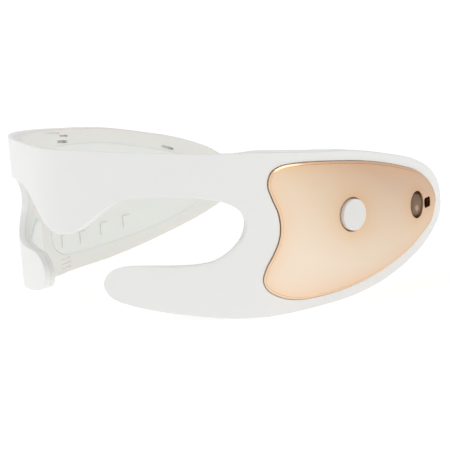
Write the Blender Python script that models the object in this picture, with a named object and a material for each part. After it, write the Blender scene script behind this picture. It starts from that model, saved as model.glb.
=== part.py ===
"""A wrap-round eye massager, in metres, resting on its lower edge.

Two moulded shells run from temple to temple over the nose. Every shell, plate, cover and pad is drawn on the
unrolled band, as (along, depth, up): along the band from the nose, inwards from its outer face, and up. It is
then bent round the head. Round and flat inner pieces stay rigid and stand on the band at their own place.
"""

import math

import bmesh
import bpy
import numpy as np
from mathutils import Matrix

# The band: its length from nose to temple end, its height, and its thickness over the brow and at the temples
BAND_LENGTH = 0.2083
BAND_HEIGHT = 0.0712
BROW_THICKNESS = 0.0050
TEMPLE_THICKNESS = 0.0095
THICKEN_SHARES = (0.33, 0.50)

# Radii of the plan curve, from the nose round the eye corner to the temple's end
NOSE_RADIUS = 0.0425
SIDE_OF_NOSE_RADIUS = 0.650
BROW_RADIUS = 0.285
CORNER_START_RADIUS = 0.0510
CORNER_RADIUS = 0.0465
CORNER_END_RADIUS = 0.0735
TEMPLE_START_RADIUS = 0.118
TEMPLE_RADIUS = 0.154
REAR_RADIUS = 0.217
BEND_SHARES = (0, 0.154, 0.240, 0.326, 0.394, 0.480, 0.566, 0.624, 1)

# The hooks under the eyes flare outwards at their tips
HOOK_FLARE = 0.0026
FLARE_START_SHARE = 0.25
FLARE_TIP_SHARE = 0.095
FLARE_LOW_SHARE = 0.36
FLARE_HIGH_SHARE = 0.49

# How the mask stands: leaning back a little, on a narrow flat cut into each side of the lower edge
REST_TILT = math.radians(1.8)
REST_FLAT_DEPTH = 0.0005
FLAT_PLACE_SHARE = 0.57

# Moulded walls and gaps
SPLIT_DEPTH = 0.0050
SEAM_GAP = 0.0003
FRONT_WALL = 0.0024
EDGE_ROUND = 0.0007
FINE_ROUND = 0.0004
GAP = 0.0003
INNER_GAP = 0.0001
OVERRUN = 0.0010

# The plate on each temple
PLATE_THICKNESS = 0.0015
PLATE_RAISE = 0.0010

# The inset cover on each temple's inner face, its ledge and its raised marks
COVER_THICKNESS = 0.0012
LEDGE_WIDTH = 0.0025
MARK_COUNT = 4
MARK_START_SHARE = 0.483
MARK_STEP_SHARE = 0.0675
MARK_LOW_SHARE = 0.180
MARK_RISE_SHARE = 0.0085
MARK_HEIGHT = 0.0056
MARK_WIDTH = 0.0038
MARK_STROKE = 0.0006
MARK_RAISE = 0.0003

# Short grooves moulded in the inner face: a low group, three by the upper edge, and a deeper slot by the upper
# rear edge. Those by the upper edge fall towards the rear with it; each of the three has its place and length.
GROOVE_LENGTH = 0.0076
GROOVE_WIDTH = 0.0009
GROOVE_PITCH = 0.0021
GROOVE_DEPTH = 0.0006
GROOVE_COUNT = 3
LOW_GROOVES_SHARE = (0.495, 0.0716)
HIGH_GROOVES_SHARES = ((0.494, 0.903, 0.0480), (0.532, 0.869, 0.0290), (0.526, 0.836, 0.0365))
HIGH_GROOVES_SLOPE = -0.15
REAR_SLOT_SHARE = (0.8353, 0.660)
REAR_SLOT_SLOPE = -0.36
REAR_SLOT_LENGTH = 0.0068
REAR_SLOT_WIDTH = 0.0014
REAR_SLOT_DEPTH = 0.0016

# The power button, centred on the left plate
BUTTON_PLACE_SHARE = (0.6504, 0.493)
BUTTON_RADIUS = 0.0066
BUTTON_RAISE = 0.0018
BUTTON_DOME = 0.0005
BUTTON_FLANGE = 0.0009
BUTTON_FLANGE_THICKNESS = 0.0008
BUTTON_TRAVEL = 0.0005
BUTTON_WALL = 0.0012
BUTTON_DOME_SHARE = 0.55
PLUNGER_RADIUS = 0.0015
PLUNGER_LENGTH = 0.0012
SWITCH_WIDTH = 0.0060
SWITCH_HEIGHT = 0.0014

# The boards and their screws
BOARD_THICKNESS = 0.0008
BOARD_DEPTH = 0.0063
MAIN_BOARD_LENGTH = 0.0340
MAIN_BOARD_HEIGHT = 0.0260
CHARGE_BOARD_PLACE_SHARE = (0.528, 0.515)
CHARGE_BOARD_LENGTH = 0.0190
CHARGE_BOARD_HEIGHT = 0.0290
BOARD_CORNER = 0.0010
BOARD_SCREW_INSET = 0.0025
BOSS_RADIUS = 0.0021
SCREW_RADIUS = 0.0007
SCREW_HEAD_RADIUS = 0.0015
SCREW_HEAD_HEIGHT = 0.0007
SCREW_BITE = 0.0024
SCREW_SLOT_DEPTH = 0.0003
SCREW_SLOT_WIDTH = 0.0004
CONNECTOR_LENGTH = 0.0030
CONNECTOR_HEIGHT = 0.0080
CONNECTOR_THICKNESS = 0.0008
CHARGE_PIN_RADIUS = 0.0013
CHARGE_PIN_SPACING = 0.0060

# The cell
BATTERY_PLACE_SHARE = (0.672, 0.480)
BATTERY_LENGTH = 0.0300
BATTERY_HEIGHT = 0.0240
BATTERY_THICKNESS = 0.0038
BATTERY_DEPTH = 0.0038
BATTERY_ROUND = 0.0009
PAD_LENGTH = 0.0180
PAD_HEIGHT = 0.0150
PAD_THICKNESS = 0.0007

# The coin motors
MOTOR_PLACE_SHARE = (0.790, 0.465)
MOTOR_RADIUS = 0.0050
MOTOR_HEIGHT = 0.0024
MOTOR_WALL = 0.0003
MOTOR_BASE_THICKNESS = 0.0004
MOTOR_PIN_RADIUS = 0.0004
MOTOR_RUNNING_GAP = 0.00006
ROTOR_THICKNESS = 0.0011
ROTOR_HUB_RADIUS = 0.0012
SEAT_WALL = 0.0008
SEAT_HEIGHT = 0.0012

# The keyhole sockets for the strap's studs: a round cup, and a notch that runs on from it
SOCKET_PLACE_SHARE = (0.8690, 0.431)
SOCKET_RADIUS = 0.0058
SOCKET_WALL = 0.0008
SOCKET_FLANGE = 0.0006
SOCKET_FLANGE_THICKNESS = 0.0005
SOCKET_FLOOR_DEPTH = 0.0026
SOCKET_FLOOR_HOLLOW = 0.0003
SOCKET_FLOOR_THICKNESS = 0.0009
SOCKET_DISH_SHARE = 0.6
NUT_WIDTH = 0.0016
NUT_HEIGHT = 0.0012
NOTCH_PLACE_SHARE = (0.9117, 0.418)
NOTCH_LENGTH = 0.0078
NOTCH_HEIGHT = 0.0045
NOTCH_DEPTH = 0.0016

# Flat cables, which lie in channels of the front shell
CABLE_WIDTH = 0.0060
CABLE_THICKNESS = 0.0006
CABLE_DEPTH = 0.0032
LEAD_WIDTH = 0.0036
CHANNEL_MARGIN = 0.0007
CABLE_OVERLAP = 0.0036

# The skin pads under the eyes
EYE_PAD_THICKNESS = 0.0020
EYE_PAD_SEAT = 0.0006
EYE_PAD_STUD_RADIUS = 0.0020
EYE_PAD_STUD_SHARE = (0.250, 0.172)

# How finely curves are faceted
FACET_RUN = 0.0300
FACET_TURN = math.radians(10.0)
EDGE_RUN = 0.0300
EDGE_TURN = math.radians(19.0)
EDGE_STEPS = 2
ROUND_SIDES = 24
SMALL_SIDES = 12
SMALL_RADIUS = 0.0025
SMOOTH_ANGLE = math.radians(32.0)
PLANE_TOLERANCE = 1e-7
MERGE_DISTANCE = 0.00001
FINE_STEPS = 2000
SPAN_STEPS = 12

LEFT, RIGHT = 1, -1
SIDES = {"left": LEFT, "right": RIGHT}

# Outlines on the unrolled band, each point as shares of the band's length and height
BAND_EDGE_SHARES = (
    (0.000, 1.000), (0.095, 0.997), (0.185, 0.990), (0.295, 0.978), (0.406, 0.962), (0.490, 0.938),
    (0.565, 0.909), (0.675, 0.862), (0.787, 0.781), (0.880, 0.695), (0.953, 0.591), (0.988, 0.495),
    (1.000, 0.400), (0.990, 0.312), (0.961, 0.252), (0.902, 0.178), (0.827, 0.114), (0.740, 0.057),
    (0.638, 0.017), (0.531, 0.000), (0.421, 0.003), (0.301, 0.032), (0.213, 0.061), (0.148, 0.098),
    (0.112, 0.138), (0.0945, 0.205), (0.107, 0.278), (0.138, 0.322), (0.180, 0.331), (0.276, 0.328),
    (0.343, 0.366), (0.392, 0.470), (0.4065, 0.551), (0.398, 0.629), (0.374, 0.678), (0.331, 0.712),
    (0.260, 0.729), (0.183, 0.724), (0.144, 0.697), (0.104, 0.631), (0.065, 0.556), (0.030, 0.510),
    (0.000, 0.499),
)
PLATE_EDGE_SHARES = (
    (0.4640, 0.823), (0.4815, 0.852), (0.5210, 0.858), (0.6410, 0.810), (0.7215, 0.757), (0.8265, 0.674),
    (0.8970, 0.5955), (0.9490, 0.486), (0.9605, 0.406), (0.9340, 0.313), (0.8830, 0.244), (0.8300, 0.187),
    (0.7650, 0.139), (0.7050, 0.104), (0.6395, 0.079), (0.5620, 0.066), (0.5025, 0.073), (0.4675, 0.1025),
    (0.4410, 0.160), (0.4340, 0.215), (0.4415, 0.281), (0.4590, 0.358), (0.4730, 0.437), (0.4775, 0.510),
    (0.4750, 0.590), (0.4640, 0.680), (0.4575, 0.755),
)
COVER_EDGE_SHARES = (
    (0.4575, 0.285), (0.4620, 0.200), (0.4870, 0.139), (0.5280, 0.118), (0.6430, 0.121), (0.7490, 0.153),
    (0.8450, 0.215), (0.9120, 0.300), (0.9400, 0.410), (0.9280, 0.500), (0.8800, 0.592), (0.7870, 0.680),
    (0.6770, 0.762), (0.5660, 0.804), (0.4990, 0.808), (0.4680, 0.765), (0.4590, 0.650), (0.4570, 0.460),
)
EYE_PAD_EDGE_SHARES = (
    (0.1090, 0.205), (0.1115, 0.233), (0.1210, 0.257), (0.1450, 0.282), (0.1870, 0.292), (0.2735, 0.288),
    (0.3455, 0.326), (0.3820, 0.392), (0.4025, 0.413), (0.4140, 0.382), (0.4155, 0.218), (0.4140, 0.073),
    (0.4005, 0.049), (0.3025, 0.077), (0.2160, 0.105), (0.1545, 0.140), (0.1215, 0.171),
)
CABLE_ROUTE_SHARES = ((0.0, 0.830), (0.180, 0.860), (0.340, 0.850), (0.430, 0.780))
LEAD_ROUTE_SHARES = ((0.236, 0.176), (0.330, 0.190), (0.430, 0.230))


def plan_curve():
    """The band's outer face seen from above: its curvature runs evenly from each named radius to the next."""
    radii = (
        NOSE_RADIUS, SIDE_OF_NOSE_RADIUS, BROW_RADIUS, CORNER_START_RADIUS, CORNER_RADIUS,
        CORNER_END_RADIUS, TEMPLE_START_RADIUS, TEMPLE_RADIUS, REAR_RADIUS,
    )
    run = np.linspace(0, BAND_LENGTH, FINE_STEPS)
    curvature = np.interp(run, np.array(BEND_SHARES) * BAND_LENGTH, 1 / np.array(radii))
    step = run[1] - run[0]

    def summed(rate):
        return np.concatenate([[0], np.cumsum((rate[1:] + rate[:-1]) / 2 * step)])

    turn = summed(curvature)
    return run, turn, summed(np.cos(turn)), summed(np.sin(turn))


RUN, TURN, PLAN_X, PLAN_Y = plan_curve()


def stations():
    """Where the band folds from one facet to the next: closer together where it turns more."""
    measure = RUN / FACET_RUN + TURN / FACET_TURN
    count = math.ceil(measure[-1])
    return np.interp(np.linspace(0, measure[-1], count + 1), measure, RUN)


STATIONS = stations()
STATION_TURN = np.interp(STATIONS, RUN, TURN)


def smooth_step(value, low, high):
    share = np.clip((value - low) / (high - low), 0, 1)
    return share * share * (3 - 2 * share)


def thickness_share(run):
    """How thick the band is at a run, as a share of its thickness at the temples."""
    low, high = (share * BAND_LENGTH for share in THICKEN_SHARES)
    thin = BROW_THICKNESS / TEMPLE_THICKNESS
    return thin + (1 - thin) * smooth_step(run, low, high)


def flare(run, up):
    """How far the hook's tip stands outwards."""
    start, tip = FLARE_START_SHARE * BAND_LENGTH, FLARE_TIP_SHARE * BAND_LENGTH
    along = np.clip((start - STATIONS) / (start - tip), 0, 1) ** 2
    low, high = FLARE_LOW_SHARE * BAND_HEIGHT, FLARE_HIGH_SHARE * BAND_HEIGHT
    below = np.clip((high - up) / (high - low), 0, 1)
    return HOOK_FLARE * np.interp(run, STATIONS, along) * below


def bend(points):
    """Unrolled points (along, depth, up) carried to the bent band. Facets between two stations stay flat."""
    along, depth, up = np.asarray(points, float).T
    run = np.abs(along)
    side = np.where(along < 0, RIGHT, LEFT)
    inward = depth * np.interp(run, STATIONS, thickness_share(STATIONS)) - flare(run, up)
    x = np.interp(run, STATIONS, np.interp(STATIONS, RUN, PLAN_X))
    y = np.interp(run, STATIONS, np.interp(STATIONS, RUN, PLAN_Y))
    x = x - np.interp(run, STATIONS, np.sin(STATION_TURN)) * inward
    y = y + np.interp(run, STATIONS, np.cos(STATION_TURN)) * inward
    return np.stack([side * x, y, up], axis=1)


def place_of(share, side):
    """The unrolled place (along, up) at a pair of shares, on one side."""
    return side * share[0] * BAND_LENGTH, share[1] * BAND_HEIGHT


def frame_at(along, up):
    """A matrix that stands a rigid piece, drawn as (along, depth, up), on the band's outer face."""
    run = abs(along)
    side = LEFT if along >= 0 else RIGHT
    turn = float(np.interp(run, RUN, TURN))
    x, y, _ = bend([(along, 0, up)])[0]
    tangent = (math.cos(turn), side * math.sin(turn), 0)
    inward = (-side * math.sin(turn), math.cos(turn), 0)
    return Matrix(
        (
            (tangent[0], inward[0], 0, x),
            (tangent[1], inward[1], 0, y),
            (0, 0, 1, up),
            (0, 0, 0, 1),
        )
    )


def sizes_of(shares):
    return np.array(shares) * (BAND_LENGTH, BAND_HEIGHT)


def curve_through(points, before, after):
    """A centripetal Catmull-Rom curve through points, finely sampled; before and after are its neighbours."""
    line = np.concatenate([[before], points, [after]])
    made = []
    for i in range(len(points) - 1):
        p = line[i : i + 4]
        knots = np.concatenate([[0], np.cumsum(np.linalg.norm(np.diff(p, axis=0), axis=1) ** 0.5)])
        place = np.linspace(knots[1], knots[2], SPAN_STEPS, endpoint=False)[:, None]
        level = [p[j][None] for j in range(4)]
        for order, low in ((1, 0), (2, 0), (1, 1)):
            level = [
                ((knots[low + j + order] - place) * level[j] + (place - knots[low + j]) * level[j + 1])
                / (knots[low + j + order] - knots[low + j])
                for j in range(len(level) - 1)
            ]
        made.append(level[0])
    return np.concatenate(made + [points[-1:]])


def thinned(line):
    """The line with few points where it runs straight, and more where it turns."""
    way = np.diff(line, axis=0)
    length = np.linalg.norm(way, axis=1)
    heading = np.unwrap(np.arctan2(way[:, 1], way[:, 0]))
    turn = np.abs(np.gradient(heading))
    measure = np.concatenate([[0], np.cumsum(length / EDGE_RUN + turn / EDGE_TURN)])
    picks = np.linspace(0, measure[-1], math.ceil(measure[-1]) + 1)
    return np.stack([np.interp(picks, measure, line[:, axis]) for axis in (0, 1)], axis=1)


def closed_curve(points):
    loop = np.concatenate([points, points[:1]])
    return thinned(curve_through(loop, points[-1], points[1]))[:-1]


def open_curve(points):
    before = 2 * points[0] - points[1]
    after = 2 * points[-1] - points[-2]
    return thinned(curve_through(points, before, after))


def turned_left(outline):
    """The outline run counter-clockwise, as seen from outside."""
    x, y = outline.T
    area = np.sum(x * np.roll(y, -1) - y * np.roll(x, -1))
    return outline if area > 0 else outline[::-1]


def drawn_in(outline, inset):
    """The outline moved inwards by inset, along the mean of each corner's two edge normals."""
    edge = np.roll(outline, -1, axis=0) - outline
    edge /= np.linalg.norm(edge, axis=1)[:, None]
    normal = np.stack([-edge[:, 1], edge[:, 0]], axis=1)
    mean = normal + np.roll(normal, 1, axis=0)
    mean /= np.sum(mean * normal, axis=1)[:, None]
    return outline + mean * inset


def quarter_round(radius, steps):
    """The (inset, depth) places of a rounded edge, from the face to the wall."""
    angle = np.linspace(0, math.pi / 2, steps + 1)
    return [(radius * (1 - math.sin(a)), radius * (1 - math.cos(a))) for a in angle]


def circle(radius, sides=0):
    sides = sides or (SMALL_SIDES if radius < SMALL_RADIUS else ROUND_SIDES)
    angle = np.arange(sides) * 2 * math.pi / sides
    return radius * np.stack([np.cos(angle), np.sin(angle)], axis=1)


def rounded_box(length, height, corner, steps=3):
    """A rectangle's outline with round corners, about its own centre."""
    angle = np.linspace(0, math.pi / 2, steps + 1)
    quarter = corner * np.stack([np.cos(angle), np.sin(angle)], axis=1)
    reach = np.array((length / 2 - corner, height / 2 - corner))
    turns = (((1, 0), (0, 1)), ((0, 1), (-1, 0)), ((-1, 0), (0, -1)), ((0, -1), (1, 0)))
    corners = ((1, 1), (-1, 1), (-1, -1), (1, -1))
    parts = [quarter @ np.array(turn) + reach * sign for turn, sign in zip(turns, corners)]
    return np.concatenate(parts)


def cross(length, width):
    """A plus sign's outline, about its own centre."""
    far, near = length / 2, width / 2
    arms = [np.array(((far, -near), (far, near), (near, near)))]
    for _ in range(3):
        arms.append(arms[-1] @ np.array(((0, 1), (-1, 0))))
    return np.concatenate(arms)


def strip(route, width):
    """The outline of a flat strip with square ends along a route."""
    line = open_curve(route)
    way = np.gradient(line, axis=0)
    way /= np.linalg.norm(way, axis=1)[:, None]
    across = np.stack([-way[:, 1], way[:, 0]], axis=1) * width / 2
    return np.concatenate([line - across, (line + across)[::-1]])


def slab(outline, rings):
    """A closed body: the outline drawn in and laid at each ring's (inset, depth), from outside inwards."""
    outline = turned_left(np.asarray(outline, float))
    count = len(outline)
    points = []
    for inset, depth in rings:
        loop = drawn_in(outline, inset)
        points.append(np.stack([loop[:, 0], np.full(count, depth), loop[:, 1]], axis=1))
    faces = [list(range(count))]
    for ring in range(len(rings) - 1):
        near, far = ring * count, (ring + 1) * count
        for j in range(count):
            k = (j + 1) % count
            faces.append([near + j, far + j, far + k, near + k])
    faces.append([(len(rings) - 1) * count + j for j in reversed(range(count))])
    return np.concatenate(points), faces


def turned(profile, closed, sides=ROUND_SIDES):
    """A body of revolution about the depth axis. The profile's (radius, depth) points run with the outside on
    their right as depth grows; at radius 0 a ring is one point."""
    points, rings = [], []
    for radius, depth in profile:
        if radius == 0:
            rings.append([len(points)] * sides)
            points.append((0, depth, 0))
        else:
            start = len(points)
            rings.append(list(range(start, start + sides)))
            points.extend((x, depth, z) for x, z in circle(radius, sides))
    pairs = list(zip(rings, rings[1:]))
    if closed:
        pairs.append((rings[-1], rings[0]))
    faces = []
    for near, far in pairs:
        for j in range(sides):
            k = (j + 1) % sides
            face = [near[j], far[j], far[k], near[k]]
            faces.append(list(dict.fromkeys(face)))
    return np.array(points, float), faces


def moved(shape, along=0.0, depth=0.0, up=0.0):
    points, faces = shape
    return points + (along, depth, up), faces


def mirrored(shape):
    """The shape on the other side of the nose."""
    points, faces = shape
    return points * (RIGHT, 1, 1), [face[::-1] for face in faces]


def on_side(shape, side):
    return shape if side == LEFT else mirrored(shape)


def mesh_of(name, shape):
    points, faces = shape
    mesh = bpy.data.meshes.new(name)
    mesh.from_pydata([tuple(p) for p in points], [], faces)
    return mesh


def combined(shape, steps):
    """The shape after each (operation, other shape) is done to it."""
    base = bpy.data.objects.new("combined", mesh_of("combined", shape))
    bpy.context.scene.collection.objects.link(base)
    others = []
    for operation, other_shape in steps:
        other = bpy.data.objects.new("other", mesh_of("other", other_shape))
        bpy.context.scene.collection.objects.link(other)
        modifier = base.modifiers.new(operation.lower(), "BOOLEAN")
        modifier.operation = operation
        modifier.object = other
        modifier.solver = "EXACT"
        others.append(other)
    graph = bpy.context.evaluated_depsgraph_get()
    done = base.evaluated_get(graph).to_mesh()
    points = np.empty(len(done.vertices) * 3)
    done.vertices.foreach_get("co", points)
    faces = [list(face.vertices) for face in done.polygons]
    base.evaluated_get(graph).to_mesh_clear()
    for helper in [base] + others:
        mesh = helper.data
        bpy.data.objects.remove(helper)
        bpy.data.meshes.remove(mesh)
    return points.reshape(-1, 3), faces


def cut(shape, *cutters):
    return combined(shape, [("DIFFERENCE", cutter) for cutter in cutters])


def joined(shape, *others):
    return combined(shape, [("UNION", other) for other in others])


def folded(shape):
    """The shape split along every station it crosses, and bent round the head."""
    bm = bmesh.new()
    mesh = mesh_of("folded", shape)
    bm.from_mesh(mesh)
    bpy.data.meshes.remove(mesh)
    bmesh.ops.remove_doubles(bm, verts=bm.verts, dist=MERGE_DISTANCE)
    low = min(v.co.x for v in bm.verts)
    high = max(v.co.x for v in bm.verts)
    for place in sorted({side * s for s in STATIONS for side in (LEFT, RIGHT)}):
        if low < place < high:
            geometry = bm.verts[:] + bm.edges[:] + bm.faces[:]
            bmesh.ops.bisect_plane(
                bm, geom=geometry, dist=PLANE_TOLERANCE, plane_co=(place, 0, 0), plane_no=(1, 0, 0)
            )
    bm.verts.ensure_lookup_table()
    bm.verts.index_update()
    points = bend([v.co[:] for v in bm.verts])
    faces = [[v.index for v in face.verts] for face in bm.faces]
    bm.free()
    return points, faces


def material(name, colour, roughness, metallic=0.0):
    made = bpy.data.materials.new(name)
    made.use_nodes = True
    shader = made.node_tree.nodes["Principled BSDF"]
    shader.inputs["Base Color"].default_value = (*colour, 1)
    shader.inputs["Roughness"].default_value = roughness
    shader.inputs["Metallic"].default_value = metallic
    return made


def finish(name, shape, look, where=None):
    """Makes the named piece: its mesh, smooth where it curves, its material and its place in the mask."""
    mesh = mesh_of(name, shape)
    mesh.shade_smooth()
    mesh.set_sharp_from_angle(angle=SMOOTH_ANGLE)
    mesh.materials.append(material(name, *look))
    piece = bpy.data.objects.new(name, mesh)
    bpy.context.scene.collection.objects.link(piece)
    piece.parent = MASK
    if where is not None:
        piece.matrix_local = where
    return piece


# Colours (linear), roughness and metallic value of each finish
SHELL_LOOK = ((0.83, 0.83, 0.81), 0.42)
INNER_LOOK = ((0.76, 0.76, 0.72), 0.50)
COVER_LOOK = ((0.72, 0.73, 0.69), 0.45)
PAD_LOOK = ((0.70, 0.70, 0.68), 0.60)
ROSE_GOLD_LOOK = ((0.88, 0.62, 0.47), 0.12, 1.0)
BUTTON_LOOK = ((0.80, 0.79, 0.77), 0.30)
SOCKET_LOOK = ((0.28, 0.22, 0.18), 0.25, 1.0)
STEEL_LOOK = ((0.60, 0.60, 0.60), 0.30, 1.0)
GOLD_LOOK = ((0.85, 0.62, 0.28), 0.25, 1.0)
BOARD_LOOK = ((0.02, 0.16, 0.07), 0.50)
BLACK_LOOK = ((0.03, 0.03, 0.03), 0.50)
CELL_LOOK = ((0.50, 0.52, 0.55), 0.35, 0.6)
CABLE_LOOK = ((0.55, 0.30, 0.06), 0.45)
FOAM_LOOK = ((0.10, 0.10, 0.10), 0.90)


def band_outline():
    """The whole band's edge: a half from the brow round temple and hook to the nose lobe, and its mirror."""
    half = sizes_of(BAND_EDGE_SHARES)
    half = thinned(curve_through(half, half[1] * (RIGHT, 1), half[-2] * (RIGHT, 1)))
    return np.concatenate([half, (half * (RIGHT, 1))[-2:0:-1]])


def side_outline(shares, inset=0.0):
    return drawn_in(turned_left(closed_curve(sizes_of(shares))), inset)


def rests_level(shape):
    """The lower edge cut level, so that the mask stands on it."""
    bm = bmesh.new()
    mesh = mesh_of("level", shape)
    bm.from_mesh(mesh)
    bpy.data.meshes.remove(mesh)
    geometry = bm.verts[:] + bm.edges[:] + bm.faces[:]
    cut_made = bmesh.ops.bisect_plane(
        bm, geom=geometry, dist=PLANE_TOLERANCE, clear_outer=True,
        plane_co=rest_point(), plane_no=rest_normal(),
    )
    edges = [e for e in cut_made["geom_cut"] if isinstance(e, bmesh.types.BMEdge)]
    bmesh.ops.holes_fill(bm, edges=edges, sides=0)
    bm.verts.index_update()
    points = np.array([v.co[:] for v in bm.verts])
    faces = [[v.index for v in face.verts] for face in bm.faces]
    bm.free()
    return points, faces


def rest_normal():
    return 0, math.sin(REST_TILT), -math.cos(REST_TILT)


def rest_point():
    """A point of the plane that the mask stands on, a little above the lowest point of its lower edge."""
    place = bend([(FLAT_PLACE_SHARE * BAND_LENGTH, 0, 0)])[0]
    edge = bend(np.insert(band_outline(), 1, 0, axis=1))
    lowest = np.max(edge @ np.array(rest_normal()))
    shift = np.dot(place, rest_normal()) - lowest + REST_FLAT_DEPTH
    return tuple(place - np.array(rest_normal()) * shift)


def channel(route, width):
    """A cutter for a cable's channel, open to the front shell's back face."""
    outline = strip(route, width + 2 * CHANNEL_MARGIN)
    return slab(outline, ((0, CABLE_DEPTH - CHANNEL_MARGIN), (0, SPLIT_DEPTH + OVERRUN)))


def disc(radius, place, near, far):
    """A round post on the unrolled band, from one depth to another."""
    return moved(slab(circle(radius), ((0, near), (0, far))), place[0], 0, place[1])


def board_place(side):
    """The middle of a side's board: under the button at the left, near the charging pins at the right."""
    return place_of(BUTTON_PLACE_SHARE if side == LEFT else CHARGE_BOARD_PLACE_SHARE, side)


def board_size(side):
    if side == LEFT:
        return MAIN_BOARD_LENGTH, MAIN_BOARD_HEIGHT
    return CHARGE_BOARD_LENGTH, CHARGE_BOARD_HEIGHT


def board_screw_rise(side):
    return board_size(side)[1] / 2 - BOARD_SCREW_INSET


def screw_places(side):
    """Where each side's board is screwed to its bosses: above and below the board's middle."""
    along, up = board_place(side)
    rise = board_screw_rise(side)
    return ((along, up + rise), (along, up - rise))


def temple_pocket(side):
    """The space for a temple's module, left round the bosses and the motor's seat."""
    outline = side_outline(COVER_EDGE_SHARES, LEDGE_WIDTH)
    pocket = on_side(slab(outline, ((0, FRONT_WALL), (0, SPLIT_DEPTH + OVERRUN))), side)
    back = SPLIT_DEPTH + 2 * OVERRUN
    stands = [disc(BOSS_RADIUS, place, FRONT_WALL - OVERRUN, back) for place in screw_places(side)]
    motor = place_of(MOTOR_PLACE_SHARE, side)
    outer = MOTOR_RADIUS + GAP + SEAT_WALL
    seat = (
        (MOTOR_RADIUS + GAP, FRONT_WALL - OVERRUN), (outer, FRONT_WALL - OVERRUN),
        (outer, FRONT_WALL + SEAT_HEIGHT), (MOTOR_RADIUS + GAP, FRONT_WALL + SEAT_HEIGHT),
    )
    stands.append(moved(turned(seat, closed=True), motor[0], 0, motor[1]))
    return cut(pocket, *stands)


def nut_radius():
    return SOCKET_RADIUS + SOCKET_WALL + INNER_GAP + NUT_WIDTH


def front_shell():
    """The outer moulding: brow, nose lobe, temples and hooks in one."""
    rings = quarter_round(EDGE_ROUND, EDGE_STEPS) + [(0, SPLIT_DEPTH)]
    cutters = []
    for side in (LEFT, RIGHT):
        recess = side_outline(PLATE_EDGE_SHARES, -GAP)
        floor = PLATE_THICKNESS - PLATE_RAISE + GAP
        cutters.append(on_side(slab(recess, ((0, -OVERRUN), (0, floor))), side))
        cutters.append(temple_pocket(side))
        socket = place_of(SOCKET_PLACE_SHARE, side)
        barrel = SOCKET_RADIUS + SOCKET_WALL + GAP
        flange = barrel + SOCKET_FLANGE
        flange_floor = floor + SOCKET_FLANGE_THICKNESS + GAP
        stepped = (
            (0, -OVERRUN), (flange, -OVERRUN), (flange, flange_floor),
            (barrel, flange_floor), (barrel, SPLIT_DEPTH), (0, SPLIT_DEPTH),
        )
        cutters.append(moved(turned(stepped, closed=False), socket[0], 0, socket[1]))
        nut_room = FRONT_WALL + INNER_GAP
        cutters.append(disc(nut_radius() + GAP, socket, nut_room, SPLIT_DEPTH + OVERRUN))
        notch = rounded_box(NOTCH_LENGTH, NOTCH_HEIGHT, NOTCH_HEIGHT / 4)
        along, up = place_of(NOTCH_PLACE_SHARE, side)
        cutters.append(moved(slab(notch, ((0, -OVERRUN), (0, NOTCH_DEPTH + INNER_GAP))), along, 0, up))
        cutters.append(on_side(channel(lead_route(side), LEAD_WIDTH), side))
        for place in screw_places(side):
            bore_floor = SPLIT_DEPTH - SCREW_BITE
            cutters.append(disc(SCREW_RADIUS + INNER_GAP, place, bore_floor, SPLIT_DEPTH + OVERRUN))
    cutters.append(channel(brow_route(), CABLE_WIDTH))
    button = place_of(BUTTON_PLACE_SHARE, LEFT)
    cutters.append(disc(BUTTON_RADIUS + GAP, button, -OVERRUN, SPLIT_DEPTH))
    body = cut(slab(band_outline(), rings), *cutters)
    finish("front_shell", rests_level(folded(body)), SHELL_LOOK)


def brow_route():
    """The brow cable's middle line, from the right board over the nose to the left board."""
    shared = sizes_of(CABLE_ROUTE_SHARES)
    left = np.concatenate([shared, [(cable_end(LEFT), cable_rise(LEFT, 1))]])
    right = np.concatenate([shared, [(cable_end(RIGHT), cable_rise(RIGHT, 1))]])
    return np.concatenate([right[::-1] * (RIGHT, 1), left[1:]])


def lead_route(side):
    """An eye pad lead's middle line, from the pad's stud to that side's board."""
    return np.concatenate([sizes_of(LEAD_ROUTE_SHARES), [(cable_end(side), cable_rise(side, -1))]])


def groove(size, place, slope):
    """A round-ended groove in the band's inner face, of a length, width and depth, at a slope."""
    length, width, depth = size
    outline = rounded_box(length, width, width / 2 - INNER_GAP, 1)
    outline = outline @ (np.array(((1, slope), (-slope, 1))) / math.hypot(1, slope))
    near = TEMPLE_THICKNESS - depth
    return moved(slab(outline, ((0, near), (0, TEMPLE_THICKNESS + OVERRUN))), place[0], 0, place[1])


def inner_grooves():
    """The left side's groove cutters."""
    cutters = []
    along, up = place_of(LOW_GROOVES_SHARE, LEFT)
    size = GROOVE_LENGTH, GROOVE_WIDTH, GROOVE_DEPTH
    for i in range(GROOVE_COUNT):
        row = up + (i - (GROOVE_COUNT - 1) / 2) * GROOVE_PITCH
        cutters.append(groove(size, (along, row), 0))
    for along_share, up_share, length_share in HIGH_GROOVES_SHARES:
        size = length_share * BAND_LENGTH, GROOVE_WIDTH, GROOVE_DEPTH
        cutters.append(groove(size, place_of((along_share, up_share), LEFT), HIGH_GROOVES_SLOPE))
    size = REAR_SLOT_LENGTH, REAR_SLOT_WIDTH, REAR_SLOT_DEPTH
    cutters.append(groove(size, place_of(REAR_SLOT_SHARE, LEFT), REAR_SLOT_SLOPE))
    return cutters


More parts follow.
